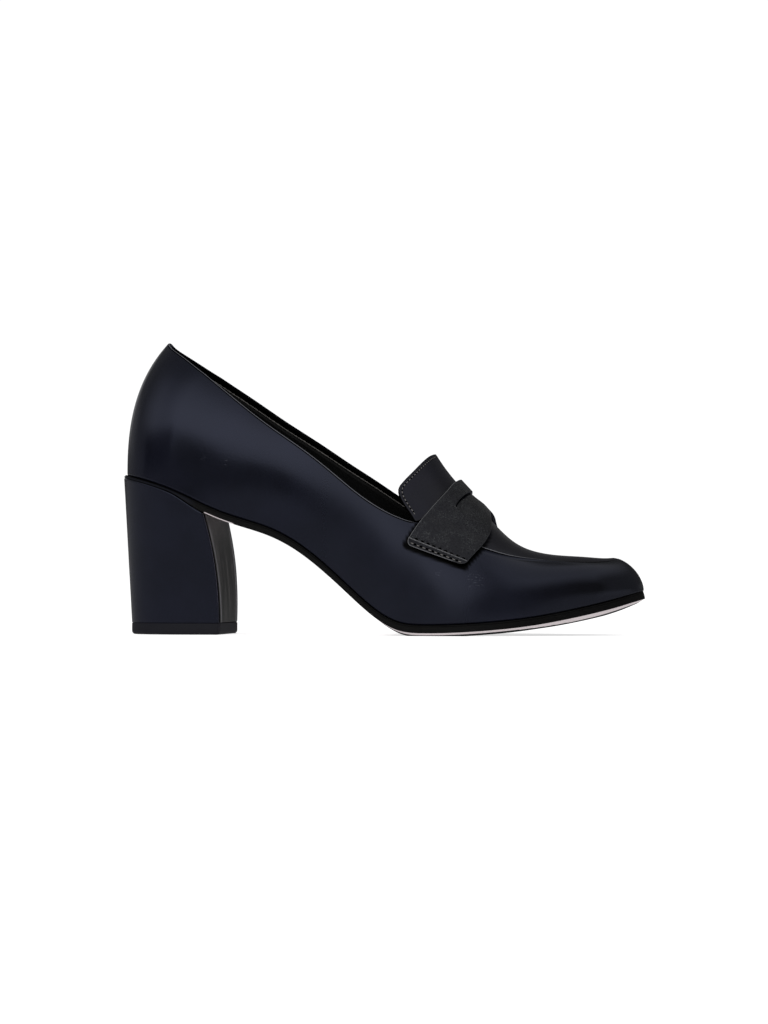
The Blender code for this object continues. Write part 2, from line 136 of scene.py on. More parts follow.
BODY_ROWS = (
    (0.00, 0.997, 0.214, 0.0, 0.03, 2.35),
    (0.10, 0.943, 0.190, 0.1, 0.34, 2.30),
    (0.20, 0.938, 0.156, 0.2, 0.70, 2.20),
    (0.30, 0.883, 0.133, 0.3, 0.95, 2.20),
    (0.40, 0.977, 0.100, 0.5, 1.00, 2.15),
    (0.50, 1.130, 0.063, 0.8, 0.80, 2.10),
    (0.55, 1.108, 0.043, 0.9, 0.60, 2.10),
    (0.60, 1.000, 0.021, 1.0, 0.45, 2.10),
    (0.65, 0.851, 0.010, 1.0, 0.32, 2.12),
    (0.70, 0.686, 0.002, 1.0, 0.24, 2.16),
    (0.75, 0.521, -0.003, 0.9, 0.18, 2.25),
    (0.80, 0.426, -0.006, 0.8, 0.15, 2.40),
    (0.85, 0.370, -0.009, 0.6, 0.13, 2.55),
    (0.90, 0.321, -0.015, 0.4, 0.12, 2.50),
    (0.95, 0.266, -0.031, 0.2, 0.10, 2.15),
    (1.00, 0.212, -0.058, 0.0, 0.06, 1.62),
)
RIM_COLUMNS = ("along", "outer", "inner")
RIM_ROWS = (
    (0.00, 0.617, 0.617),
    (0.05, 0.598, 0.591),
    (0.10, 0.565, 0.564),
    (0.20, 0.505, 0.528),
    (0.30, 0.445, 0.480),
    (0.40, 0.393, 0.440),
    (0.45, 0.372, 0.433),
    (0.50, 0.373, 0.433),
    (0.57, 0.404, 0.441),
    (0.64, 0.446, 0.454),
    (0.70, 0.489, 0.492),
    (0.76, 0.595, 0.597),
    (0.82, 0.658, 0.660),
    (0.90, 0.648, 0.648),
    (0.95, 0.722, 0.722),
    (1.00, 0.870, 0.870),
)
print("tables of the last:", len(BOTTOM_ROWS), len(BODY_ROWS), "and", len(RIM_ROWS), "rows")


# %% Smooth curves through the tables
def spline(places, values):
    """The natural cubic curve through the points: each gap holds a cubic, whose bend at the two ends is
    solved so that slopes agree at every point."""
    places, values = np.array(places, float), np.array(values, float)
    gap = np.diff(places)
    slope = np.diff(values) / gap
    size = len(places)
    matrix, right = np.eye(size), np.zeros(size)
    for row in range(1, size - 1):
        matrix[row, row - 1:row + 2] = gap[row - 1], 2 * (gap[row - 1] + gap[row]), gap[row]
        right[row] = 6 * (slope[row] - slope[row - 1])
    bend = np.linalg.solve(matrix, right)

    def curve(place):
        cell = np.clip(np.searchsorted(places, place) - 1, 0, size - 2)
        width, done, left = gap[cell], place - places[cell], places[cell + 1] - place
        cubic = (bend[cell] * left**3 + bend[cell + 1] * done**3) / (6 * width)
        from_start = (values[cell] / width - bend[cell] * width / 6) * left
        to_end = (values[cell + 1] / width - bend[cell + 1] * width / 6) * done
        return cubic + from_start + to_end

    return curve


def curves_of(columns, rows):
    """One smooth curve for each named column of a table, over its first column."""
    values = list(zip(*rows))
    return {name: spline(values[0], column) for name, column in zip(columns[1:], values[1:])}


BOTTOM = curves_of(BOTTOM_COLUMNS, BOTTOM_ROWS)
BODY = curves_of(BODY_COLUMNS, BODY_ROWS)
RIM = curves_of(RIM_COLUMNS, RIM_ROWS)
print("half widths at the ball, mm:",
      [round(1000 * BALL_WIDTH * float(BOTTOM[side](0.66)), 1) for side in ("outer", "inner")])

# %% [markdown]
# The last's own axes start at the back of the heel seat. The frame says where that is: the upper starts
# there, and the heel's top piece is as wide to both sides of the last's middle line.

# %% The last as a function of turn and climb
heel_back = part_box("upper")[0].x
middle = (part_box("top_piece")[0].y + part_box("top_piece")[1].y) / 2
ORIGIN = np.array([heel_back, middle, 0])
CLIMB_STEP = 0.02  # over which the surface is measured
NEAR_CREST = (0.9, 1.0)  # climbs over which the directions of the two sides are made one


def along_of(turn):
    """Place along the last, 0 to 1: half of one minus the cosine of the turn as a half circle."""
    return (1 - np.cos(math.pi * np.abs(turn))) / 2


def turn_of(along):
    """Turn on the inner side of a place along the last. Its negative is the turn on the outer side."""
    return np.arccos(np.clip(1 - 2 * np.asarray(along, float), -1, 1)) / math.pi


def outward(along):
    """Forward and sideways parts of the direction that leads out of the last's plan."""
    behind = np.clip(1 - along / HEEL_ROUND, 0, 1)
    ahead = np.clip((along - 1 + TOE_ROUND) / TOE_ROUND, 0, 1) - behind
    return ahead, np.sqrt(np.maximum(1 - ahead**2, 0))


def ease(value, start, end):
    """Grows smoothly from 0 at the start to 1 at the end: three squares less two cubes of the share."""
    share = np.clip((value - start) / (end - start), 0, 1)
    return share * share * (3 - 2 * share)


def feather_height(along, side):
    """Height of the feather edge. Side is -1 on the outer side, 1 on the inner."""
    rise = (SEAT_HEIGHT - TREAD_HEIGHT) * BOTTOM["rise"](along)
    lift = ARCH_LIFT * BOTTOM["arch"](along) * (1 + side) / 2
    return TREAD_HEIGHT + rise + TOE_SPRING * BOTTOM["spring"](along) + lift


def feather_point(turn, proud=0.0):
    """Point of the feather edge, moved outwards in plan by proud."""
    side, along = np.sign(turn), along_of(turn)
    ahead, aside = outward(along)
    half = BALL_WIDTH * np.where(turn < 0, BOTTOM["outer"](along), BOTTOM["inner"](along))
    x = LAST_LENGTH * along + ahead * proud
    y = side * aside * (half + proud)
    return ORIGIN + np.stack([x, y, feather_height(along, side)], axis=-1)


def last_point(turn, climb):
    """Point of the last's surface. Each section is a rounded square between the feather edge and the crest:
    the way inwards is one minus a power of the climb's cosine, the way up is that power of its sine, and
    the side wall swells out by the sine of twice the climb."""
    turn, climb = np.broadcast_arrays((np.asarray(turn, float) + 1) % 2 - 1, np.asarray(climb, float))
    along = along_of(turn)
    angle = climb * math.pi / 2
    power = 2 / BODY["square"](along)
    inwards = 1 - np.maximum(np.cos(angle), 0)**power
    upwards = np.maximum(np.sin(angle), 0)**power
    swell = WALL_SWELL * BODY["swell"](along) * np.sin(2 * angle)
    foot = feather_point(turn) - ORIGIN
    crest_height = feather_height(along, -1) + INSTEP_DEPTH * BODY["depth"](along)
    ahead, aside = outward(along)
    x = foot[..., 0] + LAST_LENGTH * BODY["lean"](along) * inwards + ahead * swell
    crest = CREST_SHIFT * BODY["crest"](along) * inwards
    y = foot[..., 1] * (1 - inwards) + np.sign(turn) * aside * swell + crest
    z = foot[..., 2] + (crest_height - foot[..., 2]) * upwards
    return ORIGIN + np.stack([x, y, z], axis=-1)


def unit(direction):
    """The direction with a length of 1."""
    return direction / np.maximum(np.linalg.norm(direction, axis=-1, keepdims=True), 1e-12)


def distance(first, second):
    """Length of the straight line between two points, for whole arrays of them."""
    return np.linalg.norm(first - second, axis=-1)


def length_along(line):
    """Length of a line of points from its start to each of them, as the sum of its steps."""
    return np.concatenate([[0], np.cumsum(distance(line[1:], line[:-1]))])


def last_normal(turn, climb, step=0.004):
    """Outward direction of the last's surface: the way up it crossed with the way round it."""
    climb = np.clip(climb, step, 1 - step)
    upwards = last_point(turn, climb + step) - last_point(turn, climb - step)
    round_it = last_point(turn + step, climb) - last_point(turn - step, climb)
    return unit(np.cross(upwards, round_it))


def stretch_at(turn, climb):
    """Metres over the last's surface for one of climb, from a short step down it."""
    return distance(last_point(turn, climb), last_point(turn, climb - CLIMB_STEP)) / CLIMB_STEP


def over_last(turn, climb, height):
    """Point at a height over the last, and the direction of that height. At the crest the two sides'
    directions are made one, and towards the toe's narrow tip they are turned straight up."""
    turn, climb = np.broadcast_arrays(np.asarray(turn, float), np.asarray(climb, float))
    upright = ease(along_of(turn), 1 - TOE_ROUND, 1 - TOE_ROUND / 3)[..., None]
    near_crest = ease(climb, *NEAR_CREST)[..., None] / 2
    direction = last_normal(turn, climb) * (1 - near_crest) + last_normal(-turn, climb) * near_crest
    direction = unit(unit(direction) * (1 - upright) + np.array([0, 0, 1]) * upright)
    return last_point(turn, climb) + direction * np.asarray(height)[..., None], direction


def rim_climb(turn):
    """Climb of the upper's rim: the topline behind the throat, the apron's seam in front of it."""
    along = along_of(turn)
    return np.where(turn < 0, RIM["outer"](along), RIM["inner"](along))


print("last, mm:", round(1000 * LAST_LENGTH, 1), "long, crest over the ball at",
      round(1000 * float(last_point(0.6, 1.0)[2]), 1))

# %% [markdown]
# ## Grids into meshes
#
# Every piece is one or more grids of points, computed as whole arrays. A grid becomes four-sided faces, and
# points that coincide are made one, so that poles and seams are closed. A leather piece with cut edges is
# a slab: a middle surface with a top and an underside, which come together at the border along a rounded
# edge. A Solidify and a Bevel modifier could make one too. Here the distance of each point to the border
# rounds it, because that distance is also kept with the mesh, as a value that a material can read, for
# instance to paint the cut edge.


# %% Grids
def cosine_steps(count):
    """Shares from 0 to 1 that crowd at both ends, as the height of a point on a turning half circle."""
    return (1 - np.cos(np.linspace(0, math.pi, count))) / 2


def grid_faces(rows, columns, first=0, round_rows=False, round_columns=False):
    """Corners of the four-sided faces of a grid of points. A round direction joins its end to its start."""
    down = np.arange(rows if round_rows else rows - 1)[:, None]
    across = np.arange(columns if round_columns else columns - 1)
    next_down, next_across = (down + 1) % rows, (across + 1) % columns
    corners = [down * columns + across, next_down * columns + across]
    corners += [next_down * columns + next_across, down * columns + next_across]
    return first + np.stack(np.broadcast_arrays(*corners), axis=-1).reshape(-1, 4)


def welded(points, faces, within=2e-6):
    """Points that coincide made one. Returns the first of each and the faces' new corners."""
    _, first, number = np.unique(np.round(points / within), axis=0, return_index=True, return_inverse=True)
    return first, number.reshape(-1)[faces]


def signed_volume(points, faces):
    """Six times the volume inside the faces: each makes two tetrahedra with the origin."""
    a, b, c, d = (points[faces[:, corner]] for corner in range(4))
    return (np.einsum("ij,ij->i", a, np.cross(b, c)) + np.einsum("ij,ij->i", a, np.cross(c, d))).sum()


print("a tube of 4 rings of 3 points has", len(grid_faces(4, 3, round_columns=True)), "faces")


# %% Pieces
def piece(name, points, faces, finish, stands_for=(), values=None, sharp=None):
    """A closed mesh object from welded points and four-sided faces, turned to face outwards. A face that
    the weld has flattened is left out, and so are two faces back to back on the same corners. Values are
    named numbers kept with its points for the material."""
    if signed_volume(points, faces) < 0:
        faces = faces[:, ::-1]
    flat = [list(dict.fromkeys(corners)) for corners in faces.tolist()]
    count = collections.Counter(frozenset(corners) for corners in flat)
    flat = [corners for corners in flat if len(corners) > 2 and count[frozenset(corners)] == 1]
    mesh = bpy.data.meshes.new(name)
    mesh.from_pydata(points.tolist(), [], flat)
    for key, numbers in (values or {}).items():
        mesh.attributes.new(key, "FLOAT", "POINT").data.foreach_set("value", numbers.astype(np.float32))
    mesh.shade_smooth()
    if sharp is not None:
        mesh.set_sharp_from_angle(angle=math.radians(sharp))
    mesh.materials.append(finish)
    made = bpy.data.objects.new(name, mesh)
    bpy.context.scene.collection.objects.link(made)
    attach(made, "root")
    if stands_for:
        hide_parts(*stands_for)
    low, high = points.min(axis=0), points.max(axis=0)
    print(f"{name}: {len(flat)} faces, {np.round(1000 * (high - low), 1)} mm")
    return made


def joined(grids):
    """One list of points and faces from several grids. Each is points, round rows, round columns."""
    points, faces, first = [], [], 0
    for grid, round_rows, round_columns in grids:
        rows, columns = grid.shape[:2]
        points.append(grid.reshape(-1, 3))
        faces.append(grid_faces(rows, columns, first, round_rows, round_columns))
        first += rows * columns
    return np.concatenate(points), np.concatenate(faces)


def closed_piece(name, grid, rounds, finish, stands_for=(), values=None, sharp=None):
    """A piece of one closed grid. Rounds says whether its rows and whether its columns join end to start,
    and values hold a number for each point of the grid."""
    points, faces = joined([(grid, *rounds)])
    first, faces = welded(points, faces)
    kept = {key: numbers.ravel()[first] for key, numbers in (values or {}).items()}
    return piece(name, points[first], faces, finish, stands_for, kept, sharp)


# %% Slabs
BORDER_SAMPLES = 5  # on each edge of a border
BLOCK = 2000  # points whose distances are worked out at once


def drawn_in(radius, apart):
    """How far a rounded edge has drawn in at a distance from its end: a quarter circle of a radius."""
    return radius - np.sqrt(radius**2 - np.maximum(radius - apart, 0)**2)


def border_distance(points, faces):
    """Distance of each point to the nearest border, which is where a face has no neighbour."""
    edges = np.concatenate([faces[:, [corner, (corner + 1) % 4]] for corner in range(4)])
    edges = np.sort(edges[edges[:, 0] != edges[:, 1]], axis=1)
    edges, count = np.unique(edges, axis=0, return_counts=True)
    edges = edges[count == 1]
    share = np.linspace(0, 1, BORDER_SAMPLES)[:, None, None]
    samples = (points[edges[:, 0]] * (1 - share) + points[edges[:, 1]] * share).reshape(-1, 3)
    nearest = np.empty(len(points))
    for start in range(0, len(points), BLOCK):
        block = points[start:start + BLOCK, None]
        nearest[start:start + BLOCK] = np.sqrt(((block - samples)**2).sum(axis=-1).min(axis=1))
    return nearest, np.unique(edges)


def slab(name, grids, directions, thickness, rounding, finish, stands_for=(), relief=None, values=None):
    """A piece of leather. Its two sides lie half its thickness from the middle surface. Towards the border
    that half follows a quarter ellipse down to nothing, over the distance of the rounding."""
    points, faces = joined([(grid, False, False) for grid in grids])
    first, faces = welded(points, faces)
    points = points[first]
    direction = np.concatenate([one.reshape(-1, 3) for one in directions])[first]
    raised = np.zeros(len(points)) if relief is None else np.concatenate([r.ravel() for r in relief])[first]
    edge, border = border_distance(points, faces)
    half = thickness / 2 * np.sqrt(1 - (1 - np.minimum(edge / rounding, 1))**2)
    fade = np.minimum(edge / rounding, 1)
    top = points + direction * (half + raised * fade)[:, None]
    below = points - direction * half[:, None]
    lower = np.arange(len(points)) + len(points)
    lower[border] = border
    all_points = np.concatenate([top, below])
    all_faces = np.concatenate([faces, lower[faces][:, ::-1]])
    used, number = np.unique(all_faces, return_inverse=True)
    kept = {"edge": np.concatenate([edge, edge]), "under": np.repeat([0.0, 1.0], len(points))}
    for key, parts in (values or {}).items():
        one = np.concatenate([part.ravel() for part in parts])[first]
        kept[key] = np.concatenate([one, one])
    kept = {key: numbers[used] for key, numbers in kept.items()}
    return piece(name, all_points[used], number.reshape(-1, 4), finish, stands_for, kept)


print("an edge rounded by 1 mm has drawn in, in mm, by",
      [round(float(drawn_in(1, apart)), 2) for apart in (0, 0.2, 0.5, 1)], "at 0, 0.2, 0.5 and 1 mm")

# %% [markdown]
# ## Finishes
#
# A material's nodes could be placed and linked one by one, but then its maths can't be read. As plain
# expressions it can. The small class below wraps a socket, and its operators add the Math nodes. Colours
# go through Mix nodes, and every other node comes from one method.


# %% Shader maths
class Socket:
    """An output of a node. Adding, subtracting and multiplying add Math nodes, and a number may stand on
    either side."""

    def __init__(self, finish, output):
        self.finish, self.output = finish, output

    def math(self, operation, *numbers):
        return self.finish.add("ShaderNodeMath", {"operation": operation}, dict(enumerate(numbers)))

    def __add__(self, other):
        return self.math("ADD", self, other)

    def __sub__(self, other):
        return self.math("SUBTRACT", self, other)

    def __rsub__(self, other):
        return self.math("SUBTRACT", other, self)

    def __mul__(self, other):
        return self.math("MULTIPLY", self, other)

    __radd__, __rmul__ = __add__, __mul__

    def largest(self, other):
        return self.math("MAXIMUM", self, other)

    def between(self, start, end, low=0.0, high=1.0):
        """Runs smoothly from low at the start to high at the end."""
        settings = {"interpolation_type": "SMOOTHSTEP"}
        places = {"Value": self, "From Min": start, "From Max": end, "To Min": low, "To Max": high}
        return self.finish.add("ShaderNodeMapRange", settings, places)

    def within(self, low, high, soft):
        """1 between a low and a high end, and 0 beyond a soft border of each."""
        return self.between(low - soft, low) * (1 - self.between(high, high + soft))


# %% Nodes and finishes
class Nodes:
    """The nodes of a material or of the world."""

    def __init__(self, owner):
        owner.use_nodes = True
        self.tree = owner.node_tree

    def add(self, kind, settings=None, inputs=None, out=0):
        """A node of a kind, its settings first and then the values or links of its sockets."""
        node = self.tree.nodes.new(kind)
        for key, value in (settings or {}).items():
            setattr(node, key, value)
        for key, value in (inputs or {}).items():
            by_identifier = [socket for socket in node.inputs if socket.identifier == key]
            socket = by_identifier[0] if by_identifier else node.inputs[key]
            if isinstance(value, Socket):
                self.tree.links.new(value.output, socket)
            else:
                socket.default_value = value
        return Socket(self, node.outputs[out])

    def mix(self, amount, first, second):
        """A colour between two."""
        inputs = {"Factor_Float": amount, "A_Color": first, "B_Color": second}
        return self.add("ShaderNodeMix", {"data_type": "RGBA"}, inputs, out=2)

    def either(self, amount, first, second):
        """A shader between two."""
        return self.add("ShaderNodeMixShader", inputs={"Fac": amount, "Shader": first, "Shader_001": second})

    def outputs_of(self, kind, inputs=None):
        """All the outputs of a new node, by name."""
        outputs = self.add(kind, inputs=inputs).output.node.outputs
        return {output.name: Socket(self, output) for output in outputs}

    def show(self, shader):
        """Ends the tree with a shader."""
        last = next(node for node in self.tree.nodes if node.bl_idname.startswith("ShaderNodeOutput"))
        self.tree.links.new(shader.output, last.inputs["Surface"])


class Finish(Nodes):
    """A material of one Principled BSDF, with the nodes that feed it. Fixed values go to the sockets of
    their names."""

    def __init__(self, name, **fixed):
        self.material = bpy.data.materials.new(name)
        super().__init__(self.material)
        self.shader = self.tree.nodes["Principled BSDF"]
        for socket, value in fixed.items():
            self.shader.inputs[socket.replace("_", " ")].default_value = value
        self.place = self.add("ShaderNodeTexCoord", out="Object")

    def value(self, key):
        """A number kept with the mesh's points."""
        return self.add("ShaderNodeAttribute", {"attribute_name": key}, out="Fac")

    def noise(self, size, detail=2.0, roughness=0.5, stretch=(1, 1, 1)):
        """Soft noise between 0 and 1, with features of a size in metres."""
        places = self.add("ShaderNodeMapping", inputs={"Vector": self.place, "Scale": stretch})
        inputs = {"Vector": places, "Scale": 1 / size, "Detail": detail, "Roughness": roughness}
        return self.add("ShaderNodeTexNoise", inputs=inputs)

    def cells(self, size):
        """Distance to the nearest of scattered points, as in the pebbles of leather grain."""
        inputs = {"Vector": self.place, "Scale": 1 / size}
        return self.add("ShaderNodeTexVoronoi", {"feature": "SMOOTH_F1"}, inputs, out="Distance")

    def feed(self, socket, value):
        self.tree.links.new(value.output, self.shader.inputs[socket])

    def bump(self, height, distance):
        """Raises the surface by a height, in metres, times a distance."""
        normal = self.add("ShaderNodeBump", inputs={"Height": height, "Distance": distance}, out="Normal")
        self.feed("Normal", normal)


def tone(red, green, blue):
    """A colour from its values on a screen, 0 to 255, in the linear light that a shader works in."""
    return tuple(((value / 255 + 0.055) / 1.055)**2.4 if value > 10 else value / 255 / 12.92
                 for value in (red, green, blue)) + (1.0,)


print("middle grey on a screen is", round(tone(128, 128, 128)[0], 3), "in linear light")

# %% [markdown]
# The side leather is a smooth calf, dyed a very dark navy and polished: a soft sheen with hardly any grain.
# The tongue, apron and strap are cut from a greyer piece with a little more grain. A cut edge is stained
# black, and it is burnished to a thin lighter line where it meets the upper face. Painted pictures laid on
# the mesh could show all that, but they blur from near by. Each of these lines follows an edge, and the
# mesh keeps its points' distances to the edges. So a line is a range of such a distance, and it stays
# sharp.


# %% Trimmings of the upper's sides
BLACK = tone(6, 6, 7)
# Tone of the painted highlights along the fold's roll and on the seam's lip; on the lip it is partly wear.
HIGHLIGHT_AND_WEAR_TONE = tone(122, 122, 126)
SCUFF_TONE = tone(96, 98, 106)

# Painted lines along the sides' upper edge: painted shade just under the fold's roll and the seam's lip,
# painted highlights on them, on the lip partly wear, and the inside painted black as shade. Each runs
# between two distances below the edge's start, in metres, and less than 0 is over the roll.
FOLD_SHADE_LINE = (-0.0003, 0.0001)
FOLD_HIGHLIGHT_LINE = (-0.0009, -0.0005)
SEAM_SHADOW_LINE = (0.0004, 0.0008)
SEAM_HIGHLIGHT_AND_WEAR = (-0.0002, 0.0002)
# Painted shade: from here in, the inside of the fold and all below it are painted black.
INSIDE_SHADE = (-0.0018, -0.0013)  # where the fold turns black

SCUFFS = (  # x, y, z and radius of lightly scratched places, in metres
    (0.0470, -0.0365, 0.0245, 0.0050),
    (0.0313, -0.0373, 0.0276, 0.0022),
    (-0.0776, -0.0265, 0.0796, 0.0018),
    (-0.0669, -0.0268, 0.0777, 0.0016),
)


def trim_sides(finish, colour, fine):
    """What only the upper's sides have: a painted highlight on the seam's lip, partly its wear, over a
    painted shadow; a painted highlight and painted shade along the topline's fold; painted shade as black
    inside the fold; the strap's painted shadow round it; and fine scratches. Drop is the way down from the
    edge's start, and it is negative over the roll. Fold and sewn say how much of an edge is topline or seam.
    Returns the colour and how much of it is painted black."""
    drop, fold, sewn = (finish.value(key) for key in ("drop", "fold", "sewn"))
    # Painted shade: dark lines under the fold's roll and under the seam's lip, black inside, and the strap's
    # shadow.
    dark = drop.within(*FOLD_SHADE_LINE, 0.0001) * fold + drop.within(*SEAM_SHADOW_LINE, 0.0002) * sewn
    dark = dark.largest(1 - drop.between(*INSIDE_SHADE)).largest(finish.value("shade"))
    # Painted highlights along the fold's roll and on the seam's lip, the latter partly wear.
    light = drop.within(*FOLD_HIGHLIGHT_LINE, 0.0001) * fold * 0.7 + drop.within(*SEAM_HIGHLIGHT_AND_WEAR, 0.0001) * sewn
    scratches = finish.noise(0.0008, 2.0, 0.6, (0.4, 1, 1.8)).between(0.56, 0.66)
    for x, y, z, radius in SCUFFS:
        inputs = {0: finish.place, 1: (x, y, z)}
        apart = finish.add("ShaderNodeVectorMath", {"operation": "DISTANCE"}, inputs, out="Value")
        rubbed = (1 - apart.between(radius * 0.4, radius)) * scratches * 0.4
        colour = finish.mix(rubbed, colour, SCUFF_TONE)
    colour = finish.mix(dark, colour, BLACK)
    return finish.mix(light * (fine * 0.9 + 0.4), colour, HIGHLIGHT_AND_WEAR_TONE), dark


print("lightly scratched places:", len(SCUFFS))

# %% Leathers
MOTTLE_TONE = tone(88, 92, 90)
GLOSS_DRIFT = 0.08
WAIST_DULL = 0.16  # added to the roughness of the sides between the two ranges of x
WAIST_BACK = (-0.042, -0.014)
WAIST_FRONT = (0.036, 0.058)
# Painted sheen: the sides' colour turns greyer towards the toe, where the polish shows greyer, since the
# polish's tint is the same all over.
TOE_SHEEN_TONE = tone(14, 14, 15)
TOE_SHEEN_FADE = (0.055, 0.105)  # x over which the colour gets greyer: a painted sheen


def leather(name, dark, light, grain, depth, gloss, sheen, edge_tone=None, edge=(0.0002, 0.0004), edge_light=None,
            sides=False, mottle=0.0):
    """Calf leather. Its colour drifts between two tones over some centimetres, its gloss a little too, and
    its grain is fine pebbles and finer noise, as a bump. Its polish reflects light in the tone of its dye.
    Mottle is how strongly the tops of the pebbles are rubbed greyer, in patches. A cut edge is black, with
    a lighter line where it turns into the upper face, partly burnish and partly a painted highlight. The
    strap's painted shadow beside another piece is black as well. A value of the mesh, named by the strap,
    says how light that line is, and the welt's ridge is made lighter too, in patches. The sides' polish is
    duller over the waist, where the shoe is held and bent, and their colour is greyer at the toe, a painted
    sheen. Where leather is stained black, and where shade is painted black, it throws no light back, as a
    metal of that black does."""
    finish = Finish(name, Specular_IOR_Level=0.78, Specular_Tint=sheen, Coat_Weight=0.08, Coat_Roughness=0.2)
    drift = finish.noise(0.022, 3.0, 0.55)
    colour = finish.mix(drift.between(0.35, 0.68), dark, light)
    pebbles = finish.cells(grain)
    fine = finish.noise(grain * 0.45, 3.0, 0.6)
    if mottle:
        patches = finish.noise(0.007, 2.0, 0.5).between(0.38, 0.62, 0.2, 1)
        colour = finish.mix(fine.between(0.50, 0.62, 0, mottle) * pebbles * patches, colour, MOTTLE_TONE)
    if edge_tone is not None:
        apart = finish.value("edge")
        # A lighter line along the cut edge: partly burnish, partly a painted highlight.
        burnish_and_highlight = apart.between(edge[0] * 0.7, edge[0]) * (1 - apart.between(edge[1], edge[1] * 1.3))
        if edge_light is not None:
            burnish_and_highlight = burnish_and_highlight * finish.value(edge_light)
            # The welt's ridge is made lighter too, in patches.
            rubbed = finish.value("ridge").between(0.45, 0.95) * fine.between(0.3, 0.6, 0.2, 0.9)
            burnish_and_highlight = burnish_and_highlight.largest(rubbed)
        colour = finish.mix(burnish_and_highlight * (fine * 0.7 + 0.4), colour, edge_tone)
        cut = (1 - apart.between(edge[0] * 0.5, edge[0])).largest(finish.value("under"))
        # The strap's painted shadow is painted black too, as the cut edge is, and neither throws light back.
        cut = cut.largest(finish.value("shade"))
        colour = finish.mix(cut, colour, BLACK)
        finish.feed("Metallic", cut)
    rough = drift * GLOSS_DRIFT + fine * GLOSS_DRIFT + (gloss - GLOSS_DRIFT)
    if sides:
        colour, dark = trim_sides(finish, colour, fine)
        finish.feed("Metallic", dark)
        forward = finish.outputs_of("ShaderNodeSeparateXYZ", {"Vector": finish.place})["X"]
        waist = forward.between(*WAIST_BACK) * (1 - forward.between(*WAIST_FRONT))
        rough = rough + waist * WAIST_DULL + dark * 0.3
        # Painted sheen: greyer towards the toe.
        colour = finish.mix(forward.between(*TOE_SHEEN_FADE, 0, 0.8) * (1 - dark), colour, TOE_SHEEN_TONE)
    finish.feed("Base Color", colour)
    finish.feed("Roughness", rough)
    finish.bump(pebbles * 0.6 + fine * 0.4, depth)
    return finish


NAVY = (tone(11, 12, 19), tone(15, 16, 25))
NAVY_SHEEN = (0.64, 0.70, 1.0, 1.0)
CHARCOAL = (tone(12, 12, 16), tone(18, 18, 20))
INDIGO = (tone(8, 8, 17), tone(12, 12, 24))
CHARCOAL_SHEEN = (0.64, 0.65, 0.76, 1.0)
side_leather = leather("side_leather", *NAVY, 0.0006, 0.00002, 0.15, NAVY_SHEEN, sides=True)
tongue_leather = leather("tongue_leather", *INDIGO, 0.0007, 0.00006, 0.32, CHARCOAL_SHEEN,
                         tone(30, 30, 32), (0.0006, 0.0007))
strap_leather = leather("strap_leather", *CHARCOAL, 0.0010, 0.00045, 0.31, CHARCOAL_SHEEN,
                        tone(124, 124, 126), (0.0003, 0.00042), edge_light="edge_light", mottle=0.8)
lining_leather = leather("lining_leather", tone(5, 5, 6), tone(8, 8, 9), 0.0007, 0.00004, 0.60,
                         (0.3, 0.3, 0.3, 1.0))
print("leathers:", ", ".join(one.name for one in bpy.data.materials if "leather" in one.name))


# %% [markdown]
# The top piece is moulded rubber. The outsole is pale leather, and its edge is stained black and waxed. The
# breast has a cover of glossier leather, which shows faint streaks from being stretched over the curve.
# Each could have a set of photographed textures, which then have to be unwrapped and repeat. Noise in the
# object's own space needs neither, and drawing it out along one axis turns it into streaks or fibres.

# %% Rubber and sole leather
def rubber():
    """The heel's top piece: matt black rubber with a fine moulded texture."""
    finish = Finish("rubber", Specular_IOR_Level=0.35)
    fine = finish.noise(0.0005, 3.0, 0.6)
    finish.feed("Base Color", finish.mix(fine, tone(18, 18, 26), tone(27, 27, 37)))
    finish.feed("Roughness", fine * 0.15 + 0.48)
    finish.bump(fine, 0.00004)
    return finish


def sole_finish():
    """Sole leather with its edge stained black and waxed, and its bevel and underside left pale. In front
    the lower bevel and the tread are black too, as painted shade where the sole stands on the floor.
    """
    finish = Finish("sole_finish", Specular_IOR_Level=0.2)
    along_edge = finish.noise(0.0016, 4.0, 0.65, (1, 1, 4))
    fibre = finish.noise(0.0006, 3.0, 0.6)
    # Black of the stained edge, and of the painted shade along the tread's foot in front.
    stain_and_shade = finish.mix(along_edge.between(0.35, 0.7), tone(4, 4, 5), tone(13, 12, 12))
    pale = finish.mix(fibre, tone(184, 175, 177), tone(208, 199, 201))
    colour = finish.mix(finish.value("pale").between(0.45, 0.55), stain_and_shade, pale)
    colour = finish.mix(finish.value("seat"), colour, tone(18, 20, 28))
    finish.feed("Base Color", colour)
    finish.feed("Roughness", fibre * 0.15 + along_edge * 0.15 + 0.34)
    finish.bump(along_edge * 0.5 + fibre * 0.5, 0.00008)
    return finish


black_rubber = rubber()
sole_leather = sole_finish()
print("made:", black_rubber.material.name, "and", sole_leather.material.name)

# %% Breast cover
# Ranges on it, in metres in from its sides, and the last, of its painted shade under the sole, down from its
# top.
BREAST_GLUED = (0.0016, 0.0022)
BREAST_LIGHT_BAND = (0.0026, 0.0044)
BREAST_TOP_SHADE = (0.003, 0.011)


